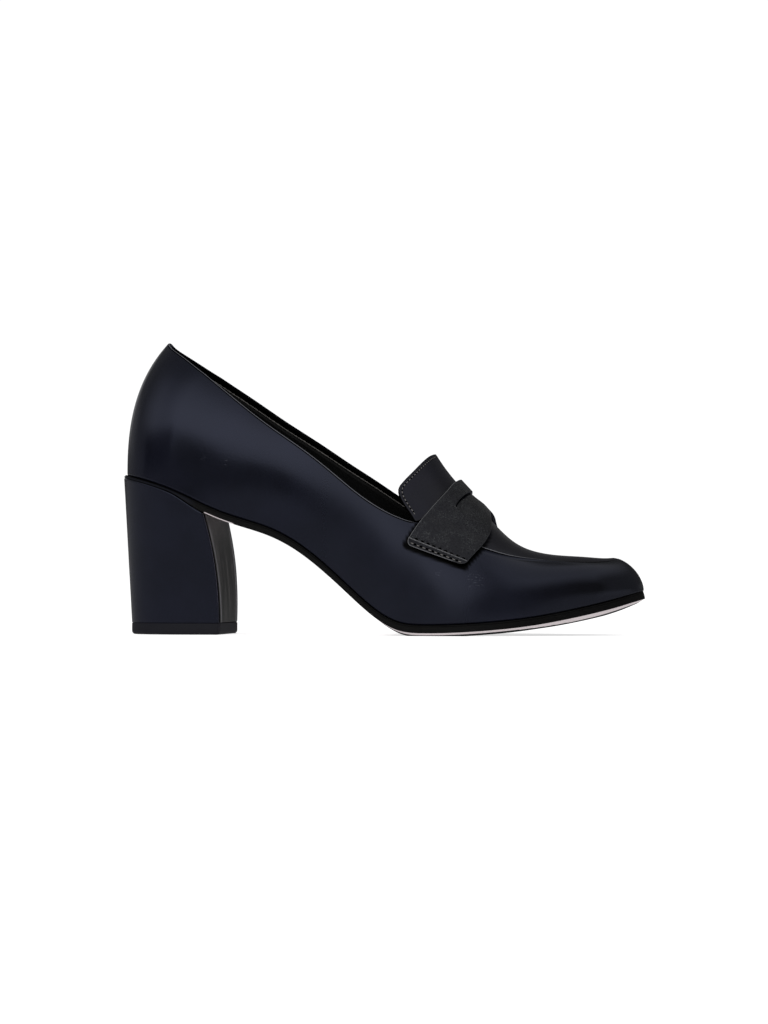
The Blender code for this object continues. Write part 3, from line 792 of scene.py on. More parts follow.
def breast_finish():
    """The breast's cover: glossy dark grey leather with faint streaks down it from its stretching. Its
    sides are glued black, and beside that it is lighter. Its top is painted darker, as shade under the sole."""
    finish = Finish("breast_finish", Specular_IOR_Level=0.3, Coat_Weight=0.05, Coat_Roughness=0.2)
    streaks = finish.noise(0.0045, 4.0, 0.65, (1, 1, 0.07))
    fine = finish.noise(0.0004, 2.0, 0.5)
    colour = finish.mix(streaks.between(0.40, 0.60), tone(12, 12, 13), tone(58, 57, 57))
    side, top = finish.value("side"), finish.value("top")
    colour = finish.mix(side.within(*BREAST_LIGHT_BAND, 0.0004), colour, tone(96, 96, 100))
    # Painted shade: darker towards its top, under the sole.
    colour = finish.mix(top.between(*BREAST_TOP_SHADE, 0.7, 0), colour, tone(14, 15, 15))
    cut = 1 - side.between(*BREAST_GLUED)
    finish.feed("Base Color", finish.mix(cut, colour, BLACK))
    finish.feed("Metallic", cut)
    finish.feed("Roughness", streaks * 0.30 + fine * 0.06 + 0.22)
    finish.bump(streaks * 0.7 + fine * 0.3, 0.00025)
    return finish


breast_leather = breast_finish()
print("made:", breast_leather.material.name)


# %% Thread and needle holes
def plain_finish(name, colour, roughness):
    """Thread or a needle hole: one tone with a fine mottle. A hole is near black, painted for the shade in
    it, and it throws no light back.
    """
    finish = Finish(name, Specular_IOR_Level=0.3, Metallic=float(roughness > 0.8))
    twist = finish.noise(0.0004, 2.0, 0.6)
    finish.feed("Base Color", finish.mix(twist, tuple(0.7 * part for part in colour[:3]) + (1,), colour))
    finish.feed("Roughness", twist * 0.1 + roughness)
    return finish


thread = plain_finish("thread", tone(122, 119, 116), 0.6)
dark_thread = plain_finish("dark_thread", tone(84, 84, 86), 0.6)
# Needle holes are near-black beads on the leather: painted shade of the holes.
needle_hole_shade = plain_finish("needle_hole_shade", tone(4, 4, 4), 0.9)
print("finishes:", len(bpy.data.materials))

# %% [markdown]
# ## The strap's outline
#
# The saddle strap is made further on, but a painted shadow darkens the leather round its edges, so its
# outline comes first. It is a short table of where the strap's back edge, its slot and its front edge lie
# along the last at each climb.

# %% Outline of the strap
STRAP_COLUMNS = ("climb", "back", "slot", "front")
STRAP_ROWS = (
    (0.29, 0.562, 0.613, 0.677),
    (0.38, 0.579, 0.625, 0.692),
    (0.47, 0.595, 0.634, 0.704),
    (0.60, 0.613, 0.644, 0.713),
    (0.70, 0.622, 0.650, 0.715),
    (0.80, 0.626, 0.6555, 0.712),
    (0.90, 0.629, 0.6585, 0.705),
    (1.00, 0.629, 0.660, 0.697),
)
STRAP = curves_of(STRAP_COLUMNS, STRAP_ROWS)
STRAP_END = STRAP_ROWS[0][0]  # climb of the strap's ends
STRAP_STRETCH = 0.062  # metres along the surface for one of climb, at the strap's ends
STRAP_SLANT = 0.8  # distance square to the strap's slanting edges, for one along the last
# The dark line round the strap is its painted shadow.
STRAP_SHADE = 0.0014  # width of the dark line round it
print("strap at its ends, mm wide:", round(1000 * LAST_LENGTH * (STRAP_ROWS[0][3] - STRAP_ROWS[0][1]), 1))

# %% [markdown]
# ## The upper's sides
#
# One wall of leather runs right round the foot. Behind the throat its upper edge is folded over to the
# inside, which makes the rounded topline. In front of the throat the same edge stands up as the raised lip
# of the apron's seam. A plane with a Solidify modifier has the same wall everywhere, so it can't turn a
# fold into a lip. The section here is a closed loop of points, each with its own rule: up the outside, over
# the edge, down the inside. Turned round the last it gives a closed ring.

# %% Sizes of the wall
UPPER_WALL = 0.0018
LEATHER_WALL = 0.0011  # leather alone, without its lining
FOLD_DEPTH = 0.0024  # topline's fold, down the inside
LIP_HEIGHT = 0.00030  # apron seam's lip over the wall
LIP_WIDTH = 0.0008
LIP_FADE = (0.74, 0.93)  # share of the length over which lip and trough fade out
SEWN_START = (0.64, 0.68)  # the same where the seam's painted lines start and end
SEWN_END = (0.74, 0.86)
SEAM_EDGE_RADIUS = 0.00035
SEAM_TROUGH = 0.00014
SEAM_TROUGH_DROP = 0.0019
FOOT_ROUND = 0.0009  # radius with which the wall turns under at the sole, along the sides
TIP_ROUND = 0.0002  # the same at the toe's tip and the heel's back
FOOT_REACH = 0.00034  # wall's reach below the feather edge, down to the sole
BACK_TAB = 0.0014  # rise of the topline at the back seam
BACK_TAB_WIDTH = 0.045  # in turn
FAR_INSIDE = -0.005  # drop that stands for all of the inside
RING_STEPS = 640
OUTSIDE_STEPS = 64
ROLL_STEPS = 9
INSIDE_STEPS = 14
FOLD_END = (0.97, 1.06)  # step where the folded leather ends, in depths of the fold
FOLD_DROPS = np.array([0, 0.4, 0.8, *FOLD_END, 1.3, 2.0])  # rows down the inside, in the same measure
THROAT_BLEND = 0.012  # share of the length over which topline turns into seam
WALL_LENGTH = 1.2 * INSTEP_DEPTH  # metres up the wall for one of climb, near enough for creases

# Soft creases of the outer and the inner side. Length and width are halves in metres, slant is in degrees
# from the vertical, and height is negative for a trough.
CREASE_COLUMNS = ("side", "along", "climb", "length", "width", "slant", "height")
CREASE_ROWS = (
    (-1, 0.585, 0.16, 0.016, 0.0060, -34, -0.00008),
    (-1, 0.618, 0.14, 0.015, 0.0060, -30, 0.00006),
    (-1, 0.700, 0.20, 0.012, 0.0060, 62, -0.00006),
    (-1, 0.110, 0.16, 0.020, 0.0080, 80, -0.00014),
    (-1, 0.180, 0.34, 0.022, 0.0090, 74, 0.00010),
    (-1, 0.310, 0.22, 0.022, 0.0090, 66, -0.00008),
    (1, 0.590, 0.17, 0.016, 0.0060, -34, -0.00008),
    (1, 0.622, 0.15, 0.015, 0.0060, -30, 0.00006),
    (1, 0.180, 0.24, 0.018, 0.0080, 74, -0.00010),
    (1, 0.420, 0.16, 0.018, 0.0080, 60, -0.00008),
)
print("wall of", round(1000 * UPPER_WALL, 1), "mm with", len(CREASE_ROWS), "creases")


# %% The wall's relief
def creases(turn, climb):
    """Sum of soft troughs and ridges. Each is its height times a bell curve of the distance along its own
    slanted line, in half lengths, and across it, in half widths."""
    along = along_of(turn)
    total = np.zeros(np.broadcast(turn, climb).shape)
    for row in CREASE_ROWS:
        crease = dict(zip(CREASE_COLUMNS, row))
        forward = (along - crease["along"]) * LAST_LENGTH
        upwards = (climb - crease["climb"]) * WALL_LENGTH
        slant = math.radians(crease["slant"])
        lengthwise = forward * math.sin(slant) + upwards * math.cos(slant)
        crosswise = forward * math.cos(slant) - upwards * math.sin(slant)
        bell = np.exp(-(lengthwise / crease["length"])**2 - (crosswise / crease["width"])**2)
        total += np.where(np.sign(turn) == crease["side"], crease["height"] * bell, 0)
    return total


def seam_share(turn):
    """0 behind the throat, where the edge is a fold, and 1 in front, where it is the seam's lip."""
    return ease(along_of(turn), THROAT - THROAT_BLEND, THROAT + THROAT_BLEND)


def lip(turn, drop):
    """Height of the seam's lip and of the trough that its stitches pull, at a distance below the rim. Both
    fade out towards the toe."""
    ridge = LIP_HEIGHT * np.exp(-(drop / LIP_WIDTH)**2)
    trough = SEAM_TROUGH * np.exp(-((drop - SEAM_TROUGH_DROP) / LIP_WIDTH)**2)
    return seam_share(turn) * (ridge - trough) * (1 - ease(along_of(turn), *LIP_FADE))


def beyond_strap(turn, climb):
    """Distance of a point of the side beyond the strap's outline, and less than 0 under the strap."""
    along = along_of(turn)
    level = np.maximum(climb, STRAP_END)
    below = (STRAP_END - climb) * STRAP_STRETCH
    behind = (STRAP["back"](level) - along) * LAST_LENGTH * STRAP_SLANT
    ahead = (along - STRAP["front"](level)) * LAST_LENGTH * STRAP_SLANT
    beside = np.maximum(behind, ahead)
    outside = np.hypot(np.maximum(below, 0), np.maximum(beside, 0))
    return np.where(outside > 0, outside, np.maximum(below, beside))


def strap_shade(turn, climb):
    """Painted shadow: how dark the leather is just beyond the strap, where the strap stands off it."""
    return 1 - ease(beyond_strap(turn, climb), 0.5 * STRAP_SHADE, STRAP_SHADE)


print("lip over the ball, mm:", round(1000 * float(lip(-turn_of(0.7), 0.0)), 2))


# %% Faces of the upper's sides
def rolled_edge(turn):
    """What the wall does at its rim: the roll's radius, the climb where it starts, and the way up."""
    seam = seam_share(turn)
    radius = UPPER_WALL / 2 * (1 - seam) + SEAM_EDGE_RADIUS * seam
    rim = rim_climb(turn)
    stretch = stretch_at(turn, rim)
    start = rim - radius / stretch
    way_up = unit(last_point(turn, start + CLIMB_STEP / 2) - last_point(turn, start - CLIMB_STEP / 2))
    return radius, start, stretch, way_up


def outer_face(turn, start):
    """The wall's outside, in rows up from the foot to the climb where the roll starts. It carries the
    creases and the seam's lip, and its foot turns under along a quarter circle, small at both ends of the
    shoe. Returns its points, their distance to the roll's start and the strap's painted shadow on them."""
    climb = cosine_steps(OUTSIDE_STEPS)[:, None] * start
    surface = last_point(turn, climb)
    drop = distance(surface, last_point(turn, start))
    foot_round = TIP_ROUND + (FOOT_ROUND - TIP_ROUND) * outward(along_of(turn))[1]**2
    turned_under = drawn_in(foot_round, distance(surface, surface[:1]))
    out = last_normal(turn, climb)
    raised = (creases(turn, climb) + lip(turn, drop))[..., None]
    points = surface + out * raised - unit(out * (1, 1, 0)) * turned_under[..., None]
    return points, drop, strap_shade(turn, climb)


def rolled_over(turn, start, radius, way_up, under):
    """The half circle over the edge: a circle's cosine outwards and its sine along the way up."""
    angle = np.linspace(0, math.pi, ROLL_STEPS)[1:-1, None, None]
    out = last_normal(turn, start)
    centre = under - out * radius[:, None]
    return centre + radius[:, None] * (out * np.cos(angle) + way_up * np.sin(angle))


def inner_face(turn, start, radius, stretch):
    """The wall's inside, in rows down from the roll: the leather that is folded over, the step at its end,
    and single leather down to the foot. Returns its points and their climb."""
    near = start - FOLD_DROPS[:, None] * FOLD_DEPTH / stretch
    climb = np.concatenate([near, near[-1] * np.linspace(1, 0, INSIDE_STEPS)[1:, None]])
    drop = distance(last_point(turn, climb), last_point(turn, start))
    single = ease(drop / FOLD_DEPTH, *FOLD_END)
    depth = (2 * radius - lip(turn, 0.0)) * (1 - single) + LEATHER_WALL * single
    return last_point(turn, climb) - last_normal(turn, climb) * depth[..., None], climb


print("the wall's ring has", RING_STEPS, "sections")


# %% Make the upper's sides
def make_sides():
    """The three faces one after the other. The topline rises in a bell curve at the back seam, and the rows
    below it rise by the fourth power of their share of its height."""
    turn = np.linspace(-1, 1, RING_STEPS, endpoint=False)
    radius, start, stretch, way_up = rolled_edge(turn)
    outside, drop, shade = outer_face(turn, start)
    roll = rolled_over(turn, start, radius, way_up, outside[-1])
    inside, climb = inner_face(turn, start, radius, stretch)
    outside[0, :, 2] -= FOOT_REACH
    inside[-1, :, 2] -= FOOT_REACH
    rows = np.concatenate([outside, roll, inside])
    inside_share = climb.mean(axis=1) / start.mean()
    share = np.concatenate([cosine_steps(OUTSIDE_STEPS), np.ones(len(roll)), inside_share])
    rows[..., 2] += BACK_TAB * np.exp(-(turn / BACK_TAB_WIDTH)**2) * share[:, None]**4

    along, seam = along_of(turn), seam_share(turn)
    over_roll = -radius * np.linspace(0, math.pi, ROLL_STEPS)[1:-1, None]
    blank = np.zeros(rows.shape[:2])
    values = {
        "drop": np.concatenate([drop, over_roll, np.full(climb.shape, FAR_INSIDE)]),
        "fold": 1 - seam + blank,
        "sewn": seam * ease(along, *SEWN_START) * (1 - ease(along, *SEWN_END)) + blank,
        "shade": np.concatenate([shade, blank[len(shade):]]),
    }
    return closed_piece("upper_sides", rows, (True, True), side_leather.material,
                        ["upper"], values)


make_sides()

# %% [markdown]
# ## The lining
#
# A thin black leather lines the wall on the inside. It starts under the topline's fold, where the real
# one is sewn, so a fine step and a row of stitches show there. It could be a second finish on the wall's
# inner faces. As a piece of its own it also gets its real thickness and edge.

# %% Make the lining
LINING_WALL = 0.0006
LINING_STEPS = 22
LINING_FOOT = 0.02  # share of its height that it ends over the foot


def make_lining():
    """A closed ring: down its inner face from the fold to the insole, and up its outer face again."""
    turn = np.linspace(-1, 1, RING_STEPS // 2, endpoint=False)
    _, start, stretch, _ = rolled_edge(turn)
    seam = seam_share(turn)
    top_drop = FOLD_DEPTH * FOLD_END[1] * (1 - seam) + LINING_WALL * seam
    down = (start - top_drop / stretch) * np.linspace(1, LINING_FOOT, LINING_STEPS)[:, None]
    faces = [last_point(turn, climb) - last_normal(turn, climb) * depth
             for climb, depth in ((down, UPPER_WALL), (down[::-1], UPPER_WALL - LINING_WALL))]
    return closed_piece("lining", np.concatenate(faces), (True, True), lining_leather.material)


make_lining()

# %% [markdown]
# ## Apron and tongue
#
# The apron covers the toes between the two seams, a little lower than the walls. Behind the strap the same
# leather goes on as the tongue, a tab with a free rounded edge. Both could be cut out of a shell with
# Booleans, but a cut leaves long thin faces beside a rounded edge. So both are slabs over the last, whose
# rows follow their edges and its crown. They meet under the strap, where nothing shows.

# %% Sizes of apron and tongue
APRON_DROP = 0.0007
TOE_DROP = 0.0001  # apron's drop at the toe, where its seam has flattened out
APRON_FADE = (0.70, 0.96)  # share of the length over which it rises from the one to the other
SEAM_WIDTH = 0.0003  # between apron and rim, and at the toe it overlaps the rim by as much
SEAM_TURN = (0.93, 0.99)  # share of the length over which the gap turns into that
CUT_ROUND = 0.0003  # radius of a cut edge
FIT_GAP = 0.0003
TONGUE_WALL = 0.0018
TONGUE_LIFT = 0.0009  # how far its free edge stands off at the crest
TONGUE_LIFT_CLIMBS = (0.45, 0.9)  # climbs over which it comes to that
APRON_COLUMNS = 130
APRON_ROWS = 56
TONGUE_STEPS = 40
TONGUE_COLUMNS = ("climb", "edge")
TONGUE_ROWS = (
    (0.420, 0.5747),
    (0.445, 0.5622),
    (0.470, 0.5462),
    (0.495, 0.5357),
    (0.520, 0.5322),
    (0.560, 0.5357),
    (0.610, 0.5427),
    (0.660, 0.5492),
    (0.750, 0.5572),
    (0.870, 0.5617),
    (1.000, 0.5612),
)
TONGUE = curves_of(TONGUE_COLUMNS, TONGUE_ROWS)
print("tongue ends at", round(100 * TONGUE_ROWS[-1][1], 1), "% of the length on the crest")


def throat_skew(share):
    """How much further along the last the throat edge has run than at the rim."""
    return THROAT_SKEW * np.sqrt(share)


def halfway(steps):
    """Shares from 0 at the rim, where they are close together, to 1 at the crest."""
    return np.append(2 * cosine_steps(2 * steps)[:steps], 1.0)


def mirrored(parts, side):
    """Grids with the inner side's rows turned round, so that both halves make one run over the crest."""
    return [part if side < 0 else part[::-1] for part in parts]


# %% Make the apron
def make_apron():
    """Rows run from the outer seam over the crest to the inner one, columns from the throat to the toe."""
    share = halfway(APRON_ROWS)[:, None]
    along = THROAT + (1 - THROAT) * np.sin(np.linspace(0, math.pi / 2, APRON_COLUMNS))
    skewed = along + throat_skew(share) * (1 - along) / (1 - THROAT)
    height = -APRON_DROP + (APRON_DROP - TOE_DROP) * ease(along, *APRON_FADE) - UPPER_WALL / 2
    grids, directions, shades = [], [], []
    for side in (-1, 1):
        turn = side * turn_of(along)
        rim = rim_climb(turn)
        seam = rim + SEAM_WIDTH * (1 - 2 * ease(along, *SEAM_TURN)) / stretch_at(turn, rim)
        climb = seam + share * (1 - seam)
        surface, direction = over_last(side * turn_of(skewed), climb, height + 0 * climb)
        # The strap's painted shadow on the apron, on the outer side only, fading out at the crest.
        shade = strap_shade(turn_of(skewed), climb) * (1 - ease(climb, *NEAR_CREST)) * (side < 0)
        surface, direction, shade = mirrored((surface, direction, shade), side)
        grids.append(surface)
        directions.append(direction)
        shades.append(shade)
    return slab("apron", grids, directions, UPPER_WALL, CUT_ROUND, tongue_leather.material,
                ["upper"], values={"shade": shades})


make_apron()


# %% Make the tongue
def tongue_grid(side):
    """Half of the tongue's middle surface: rows from the rim to the crest, columns from the throat to the
    free edge. Both are a turn and a climb."""
    share = halfway(TONGUE_STEPS)[:, None]
    rim = rim_climb(side * turn_of(THROAT)) + FIT_GAP / INSTEP_DEPTH
    start = THROAT + throat_skew(share) - 2 * FIT_GAP / LAST_LENGTH
    low = TONGUE_ROWS[0][0]
    edge = np.minimum(TONGUE["edge"](low + (1 - low) * share), start)
    along = start + (edge - start) * cosine_steps(TONGUE_STEPS)
    return side * turn_of(along), np.broadcast_to(rim + (1 - rim) * share, along.shape)


def tongue_height(climb, share):
    """Height of the tongue's upper face. Share is 0 at the throat and 1 at the free edge, which lifts."""
    return TONGUE_LIFT * share * ease(climb, *TONGUE_LIFT_CLIMBS) - APRON_DROP


def make_tongue():
    """Both halves of the tab, a slab that lifts a little towards its free edge."""
    grids, directions = [], []
    for side in (-1, 1):
        turn, climb = tongue_grid(side)
        height = tongue_height(climb, cosine_steps(TONGUE_STEPS)) - TONGUE_WALL / 2
        surface, direction = mirrored(over_last(turn, climb, height), side)
        grids.append(surface)
        directions.append(direction)
    return slab("tongue_tab", grids, directions, TONGUE_WALL, CUT_ROUND, tongue_leather.material,
                ["tongue"])


make_tongue()

# %% [markdown]
# ## The saddle strap
#
# The strap lies across the instep and is sewn down at both ends. A slot with a soft closed end crosses its
# crest, the mark of a penny loafer. The slot could be cut with a Boolean. Instead two bands, behind and in
# front of it, share the slot's middle line where it is closed, so that their rows follow its edges and each
# band can have a height of its own: the front one is skived thin and dips beside the slot.

# %% Sizes of the strap
STRAP_WALL = 0.0020
SLOT_WIDTH = 0.0017
SLOT_OPEN = 0.0006  # what is left of the slot's width above the front band's skived edge
DIP_DEPTH = 0.0010
DIP_WIDTH = 0.0062
STRAP_LIFT = 0.0004  # at the crest
STRAP_LIFT_CLIMBS = (0.75, 1.0)  # climbs over which it comes to that
INNER_LOBE = 0.010  # how much further back the front edge bulges on the inner side
LOBE_CLIMB = 0.73
LOBE_REACH = 0.15
HOLLOW_DEPTH = 0.0007  # of the hollow in the front band at the slot's end
HOLLOW_CLIMB = 0.70
HOLLOW_SHARE = 0.12  # place across the front band
HOLLOW_REACH = (0.07, 0.22)  # half width of its bell curve in climb, and across the band
# The strap's edge line is partly a painted highlight; towards the open slot it is painted dark, as the slot's
# shade.
SLOT_SHADE = (0.35, 0.25)  # shares across a band over which its edge line darkens towards the slot
FRONT_EDGE = (0.6, 0.8)  # shares across the front band over which the front edge's line fades
FRONT_EDGE_LIGHT = 0.15  # how light the front edge's line is, beside the back edge's
BAND_EDGE_LIGHT = 0.8  # how light the line is over the instep, beside that at the ends
SLOT_END_CLIMB = 0.64
STRAP_SETTLE = 0.06
STRAP_CORNER_RADIUS = 0.0030
STRAP_LENGTH_STEPS = 120
BACK_BAND_STEPS = 24
FRONT_BAND_STEPS = 28
WELT_IN = 0.0030  # the raised ridge across each end, from the end
WELT_HEIGHT = 0.00045
WELT_WIDTH = 0.00036
STITCH_ROWS = (0.0015, 0.0039)  # the two rows of stitches, from the end
STITCH_PULL = 0.00025
STITCH_PULL_WIDTH = 0.0005
print("slot, mm wide:", round(1000 * SLOT_WIDTH, 1))


# %% Heights and edges of the strap
def strap_height(turn, climb, dip=0.0):
    """Height of the strap's middle surface. It settles from the side wall down to the apron, and beside the
    slot it dips."""
    rim = rim_climb(turn)
    lift = STRAP_LIFT * ease(climb, *STRAP_LIFT_CLIMBS)
    return FIT_GAP + STRAP_WALL / 2 - APRON_DROP * ease(climb, rim, rim + STRAP_SETTLE) + lift - dip


def strap_edges(climb, from_end):
    """Places along the last of the band's edges. Near an end both outer edges bend in along a quarter
    circle, and the slot's half width is that of half an ellipse."""
    near = np.minimum(from_end / STRAP_CORNER_RADIUS, 1)
    corner = STRAP_CORNER_RADIUS * (1 - np.sqrt(1 - (1 - near)**2)) / LAST_LENGTH
    open_share = np.sqrt(1 - np.clip((1 - climb) / (1 - SLOT_END_CLIMB), 0, 1)**2)
    slot_back = STRAP["slot"](climb) - SLOT_WIDTH / LAST_LENGTH / 2 * open_share
    slot_front = slot_back + SLOT_OPEN / LAST_LENGTH * open_share
    return STRAP["back"](climb) + corner, slot_back, slot_front, STRAP["front"](climb) - corner, open_share


def strap_relief(from_end, share, climb, hollowed):
    """The welt across the end, the pull of the two stitch rows and, where the band is hollowed, a hollow at
    the slot's end. Each is a bell curve."""
    raised = WELT_HEIGHT * np.exp(-((from_end - WELT_IN) / WELT_WIDTH)**2)
    for row in STITCH_ROWS:
        raised = raised - STITCH_PULL * np.exp(-((from_end - row) / STITCH_PULL_WIDTH)**2)
    along_it, across_it = (climb - HOLLOW_CLIMB) / HOLLOW_REACH[0], (share - HOLLOW_SHARE) / HOLLOW_REACH[1]
    return raised - HOLLOW_DEPTH * hollowed * np.exp(-along_it**2 - across_it**2)


def strap_edge_light(from_end, share, open_share, hollowed):
    """How light a band's edge line is, which is partly a painted highlight: faint along the front edge,
    and dark beside the open slot, as painted shade of the slot.
    """
    by_slot = ease(share if hollowed else 1 - share, *SLOT_SHADE) * (open_share > 0)
    by_front = 1 - hollowed * (1 - FRONT_EDGE_LIGHT) * ease(share, *FRONT_EDGE)
    return (1 - by_slot) * by_front * np.where(from_end < WELT_IN, 1, BAND_EDGE_LIGHT)


strap_share = 1 - np.cos(np.linspace(0, math.pi / 2, STRAP_LENGTH_STEPS))
strap_climb = STRAP_END + (1 - STRAP_END) * strap_share
strap_length = length_along(last_point(-turn_of(STRAP["slot"](strap_climb)), strap_climb))
print("strap, end to crest, mm:", round(1000 * strap_length[-1], 1))


# %% Make the strap
def strap_band(side, low, high, steps, open_share, hollowed):
    """One band on one side: columns follow the strap from its end to the crest, rows go from the low place
    along the last to the high one. Returns its grid, directions, relief, edge line's lightness and ridge."""
    share = cosine_steps(steps)[:, None]
    along = low + share * (high - low)
    turn = side * turn_of(along)
    beside_slot = 1 - ease((along - low) * LAST_LENGTH, 0, DIP_WIDTH)
    dip = hollowed * DIP_DEPTH * open_share * beside_slot
    climb = np.broadcast_to(strap_climb, along.shape)
    surface, direction = over_last(turn, climb, strap_height(turn, climb, dip))
    raised = strap_relief(strap_length, share, strap_climb, hollowed) + 0 * share
    edge_light = strap_edge_light(strap_length, share, open_share, hollowed)
    ridge = np.exp(-((strap_length - WELT_IN) / WELT_WIDTH)**2) + 0 * share
    return mirrored((surface, direction, raised, edge_light, ridge), side)


def make_strap():
    """Two bands on each side. On the inner side the front edge bulges back in a bell curve."""
    back, slot_back, slot_front, front, open_share = strap_edges(strap_climb, strap_length)
    bands = []
    for side in (-1, 1):
        lobe = INNER_LOBE * np.exp(-((strap_climb - LOBE_CLIMB) / LOBE_REACH)**2) * (side > 0)
        bands.append(strap_band(side, back, slot_back, BACK_BAND_STEPS, open_share, 0))
        bands.append(strap_band(side, slot_front, front - lobe, FRONT_BAND_STEPS, open_share, 1))
    grids, directions, relief, edge_light, ridge = zip(*bands)
    return slab("saddle_strap", grids, directions, STRAP_WALL, CUT_ROUND, strap_leather.material,
                ["strap"], relief, {"edge_light": edge_light, "ridge": ridge})


make_strap()

# %% [markdown]
# ## Insole, sole and heel
#
# The insole lies inside on the feather edge. The outsole runs under the whole shoe, thin over the heel
# and full in front of it, and its lower corner is bevelled. An outline pushed down and rounded by a Bevel
# modifier would have one edge all round, but this edge is grooved, thins towards the heel and is bevelled
# only in front. So its section at each place along the last is a closed loop: down one edge, across the
# tread, up the other edge and across the top.

# %% Sizes of insole and outsole
INSOLE_THICKNESS = 0.0020
INSOLE_ROUND = 0.0007
SOLE_THICKNESS = 0.0034
SEAT_THICKNESS = 0.0010
SKIVE_START = 0.100
SKIVE_END = 0.170
BEVEL_START = 0.50
BEVEL_END = 0.58
SOLE_LEDGE = 0.0009
SOLE_BEVEL_HEIGHT = 0.0018
SOLE_BEVEL_WIDTH = 0.0030
SOLE_COLUMNS = 420
ACROSS_STEPS = 14
SEAT_LEDGE = 0.0014
SEAT_END = 0.165  # share of the length where the sole comes out from over the heel
SEAT_FADE = 0.03
PALE_END = 0.50  # share of the bevel that is left pale; the rest and the tread are black: painted shade where the sole stands on the floor
PALE_AT_TOE = 0.40  # how much more of it is pale at the toe
PALE_TOE = (0.75, 0.90)  # share of the length over which that grows
BREAST_RIM = (0.168, 0.225)  # where on the length the raw lower rim of its edge shows beside the breast
TREAD_START = 0.53  # share of the length
TOE_TRIM = 0.0004  # how much less the sole stands out at the toe
TOE_TRIM_START = 0.93  # share of the length from which that grows
RAW_RIM = 0.9  # share of the edge's height from which it is raw beside the breast
SEAT_STRIP = (0.1, 0.9)  # shares of the edge's height between which it is a strip over the heel
PAINT_FADE = 0.01  # share of the length over which such paint fades


def sole_thickness(along):
    """Thin over the heel, and full where it has come out from over it."""
    return SEAT_THICKNESS + (SOLE_THICKNESS - SEAT_THICKNESS) * ease(along, SKIVE_START, SKIVE_END)


def across(start, end):
    """Rows of points from one line to another, without either."""
    share = np.linspace(0, 1, ACROSS_STEPS + 2)[1:-1, None, None]
    return start + share * (end - start)


print("sole, mm thick over the heel and in front:",
      [round(1000 * float(sole_thickness(along)), 1) for along in (0, 1)])


# %% Make the insole
def insole_edge(side, turn):
    """The insole's edge on one side, from its lower corner up and over a quarter circle."""
    inset = UPPER_WALL + 2 * FIT_GAP
    over = [(INSOLE_ROUND * (1 - math.cos(angle)), INSOLE_ROUND * (1 - math.sin(angle)))
            for angle in np.linspace(0, math.pi / 2, 5)]
    profile = [(0, 0)] + [(more, INSOLE_THICKNESS - down) for more, down in over]
    return np.array([feather_point(side * turn, -inset - more) + (0, 0, up) for more, up in profile])


def make_insole():
    """A closed loop at each place along: up the outer edge, across the top, down the inner edge, and back."""
    turn = np.linspace(0, 1, SOLE_COLUMNS // 2)
    outer, inner = insole_edge(-1, turn), insole_edge(1, turn)[::-1]
    top, bottom = across(outer[-1], inner[0]), across(inner[-1], outer[0])
    return closed_piece("insole_sock", np.concatenate([outer, top, inner, bottom]), (True, False),
                        lining_leather.material, ["insole"], sharp=50)


make_insole()

# %% The sole's edge
# From its top corner down: how far it stands in from the full edge, how far down it is as a share of its
# thickness, how far down its bevel as a share of that, and whether it is left pale.
EDGE_COLUMNS = ("inset", "down", "bevel", "pale")
EDGE_ROWS = (
    (0.00095, 0.00, 0.00, 0),
    (0.00070, 0.02, 0.00, 0),
    (0.00058, 0.07, 0.00, 0),
    (0.00052, 0.14, 0.00, 0),
    (0.00068, 0.17, 0.00, 0),
    (0.00066, 0.20, 0.00, 0),
    (0.00042, 0.24, 0.00, 0),
    (0.00018, 0.50, 0.00, 0),
    (-0.00004, 0.80, 0.00, 0),
    (-0.00008, 0.92, 0.00, 0),
    (-0.00002, 0.98, 0.00, 0),
    (0.00016, 1.00, 0.02, 0),
    (0.00040, 1.00, 0.05, 1),
)
EDGE = dict(zip(EDGE_COLUMNS, np.array(EDGE_ROWS).T[..., None]))
BEVEL_SHARES = np.linspace(0.15, 1, 12)[:, None]


def sole_edge(turn, seat):
    """The sole's edge on one side: the rows of the table, and then the bevel, straight in and down."""
    along = along_of(turn)
    thickness = sole_thickness(along)
    bevel = ease(along, BEVEL_START, BEVEL_END)
    ledge = SOLE_LEDGE + (SEAT_LEDGE - SOLE_LEDGE) * seat - TOE_TRIM * ease(along, TOE_TRIM_START, 1)
    inset, part = EDGE["inset"][-1], EDGE["bevel"][-1]
    inset = np.concatenate([EDGE["inset"] + 0 * along,
                            inset + (SOLE_BEVEL_WIDTH - inset) * bevel * BEVEL_SHARES])
    part = np.concatenate([EDGE["bevel"], part + (1 - part) * BEVEL_SHARES])
    down = np.concatenate([EDGE["down"], BEVEL_SHARES**0])
    edge = feather_point(np.broadcast_to(turn, inset.shape), ledge - inset)
    edge[..., 2] -= FIT_GAP + thickness * down + SOLE_BEVEL_HEIGHT * bevel * part
    edge[..., 2] = np.maximum(edge[..., 2], 0)
    return edge


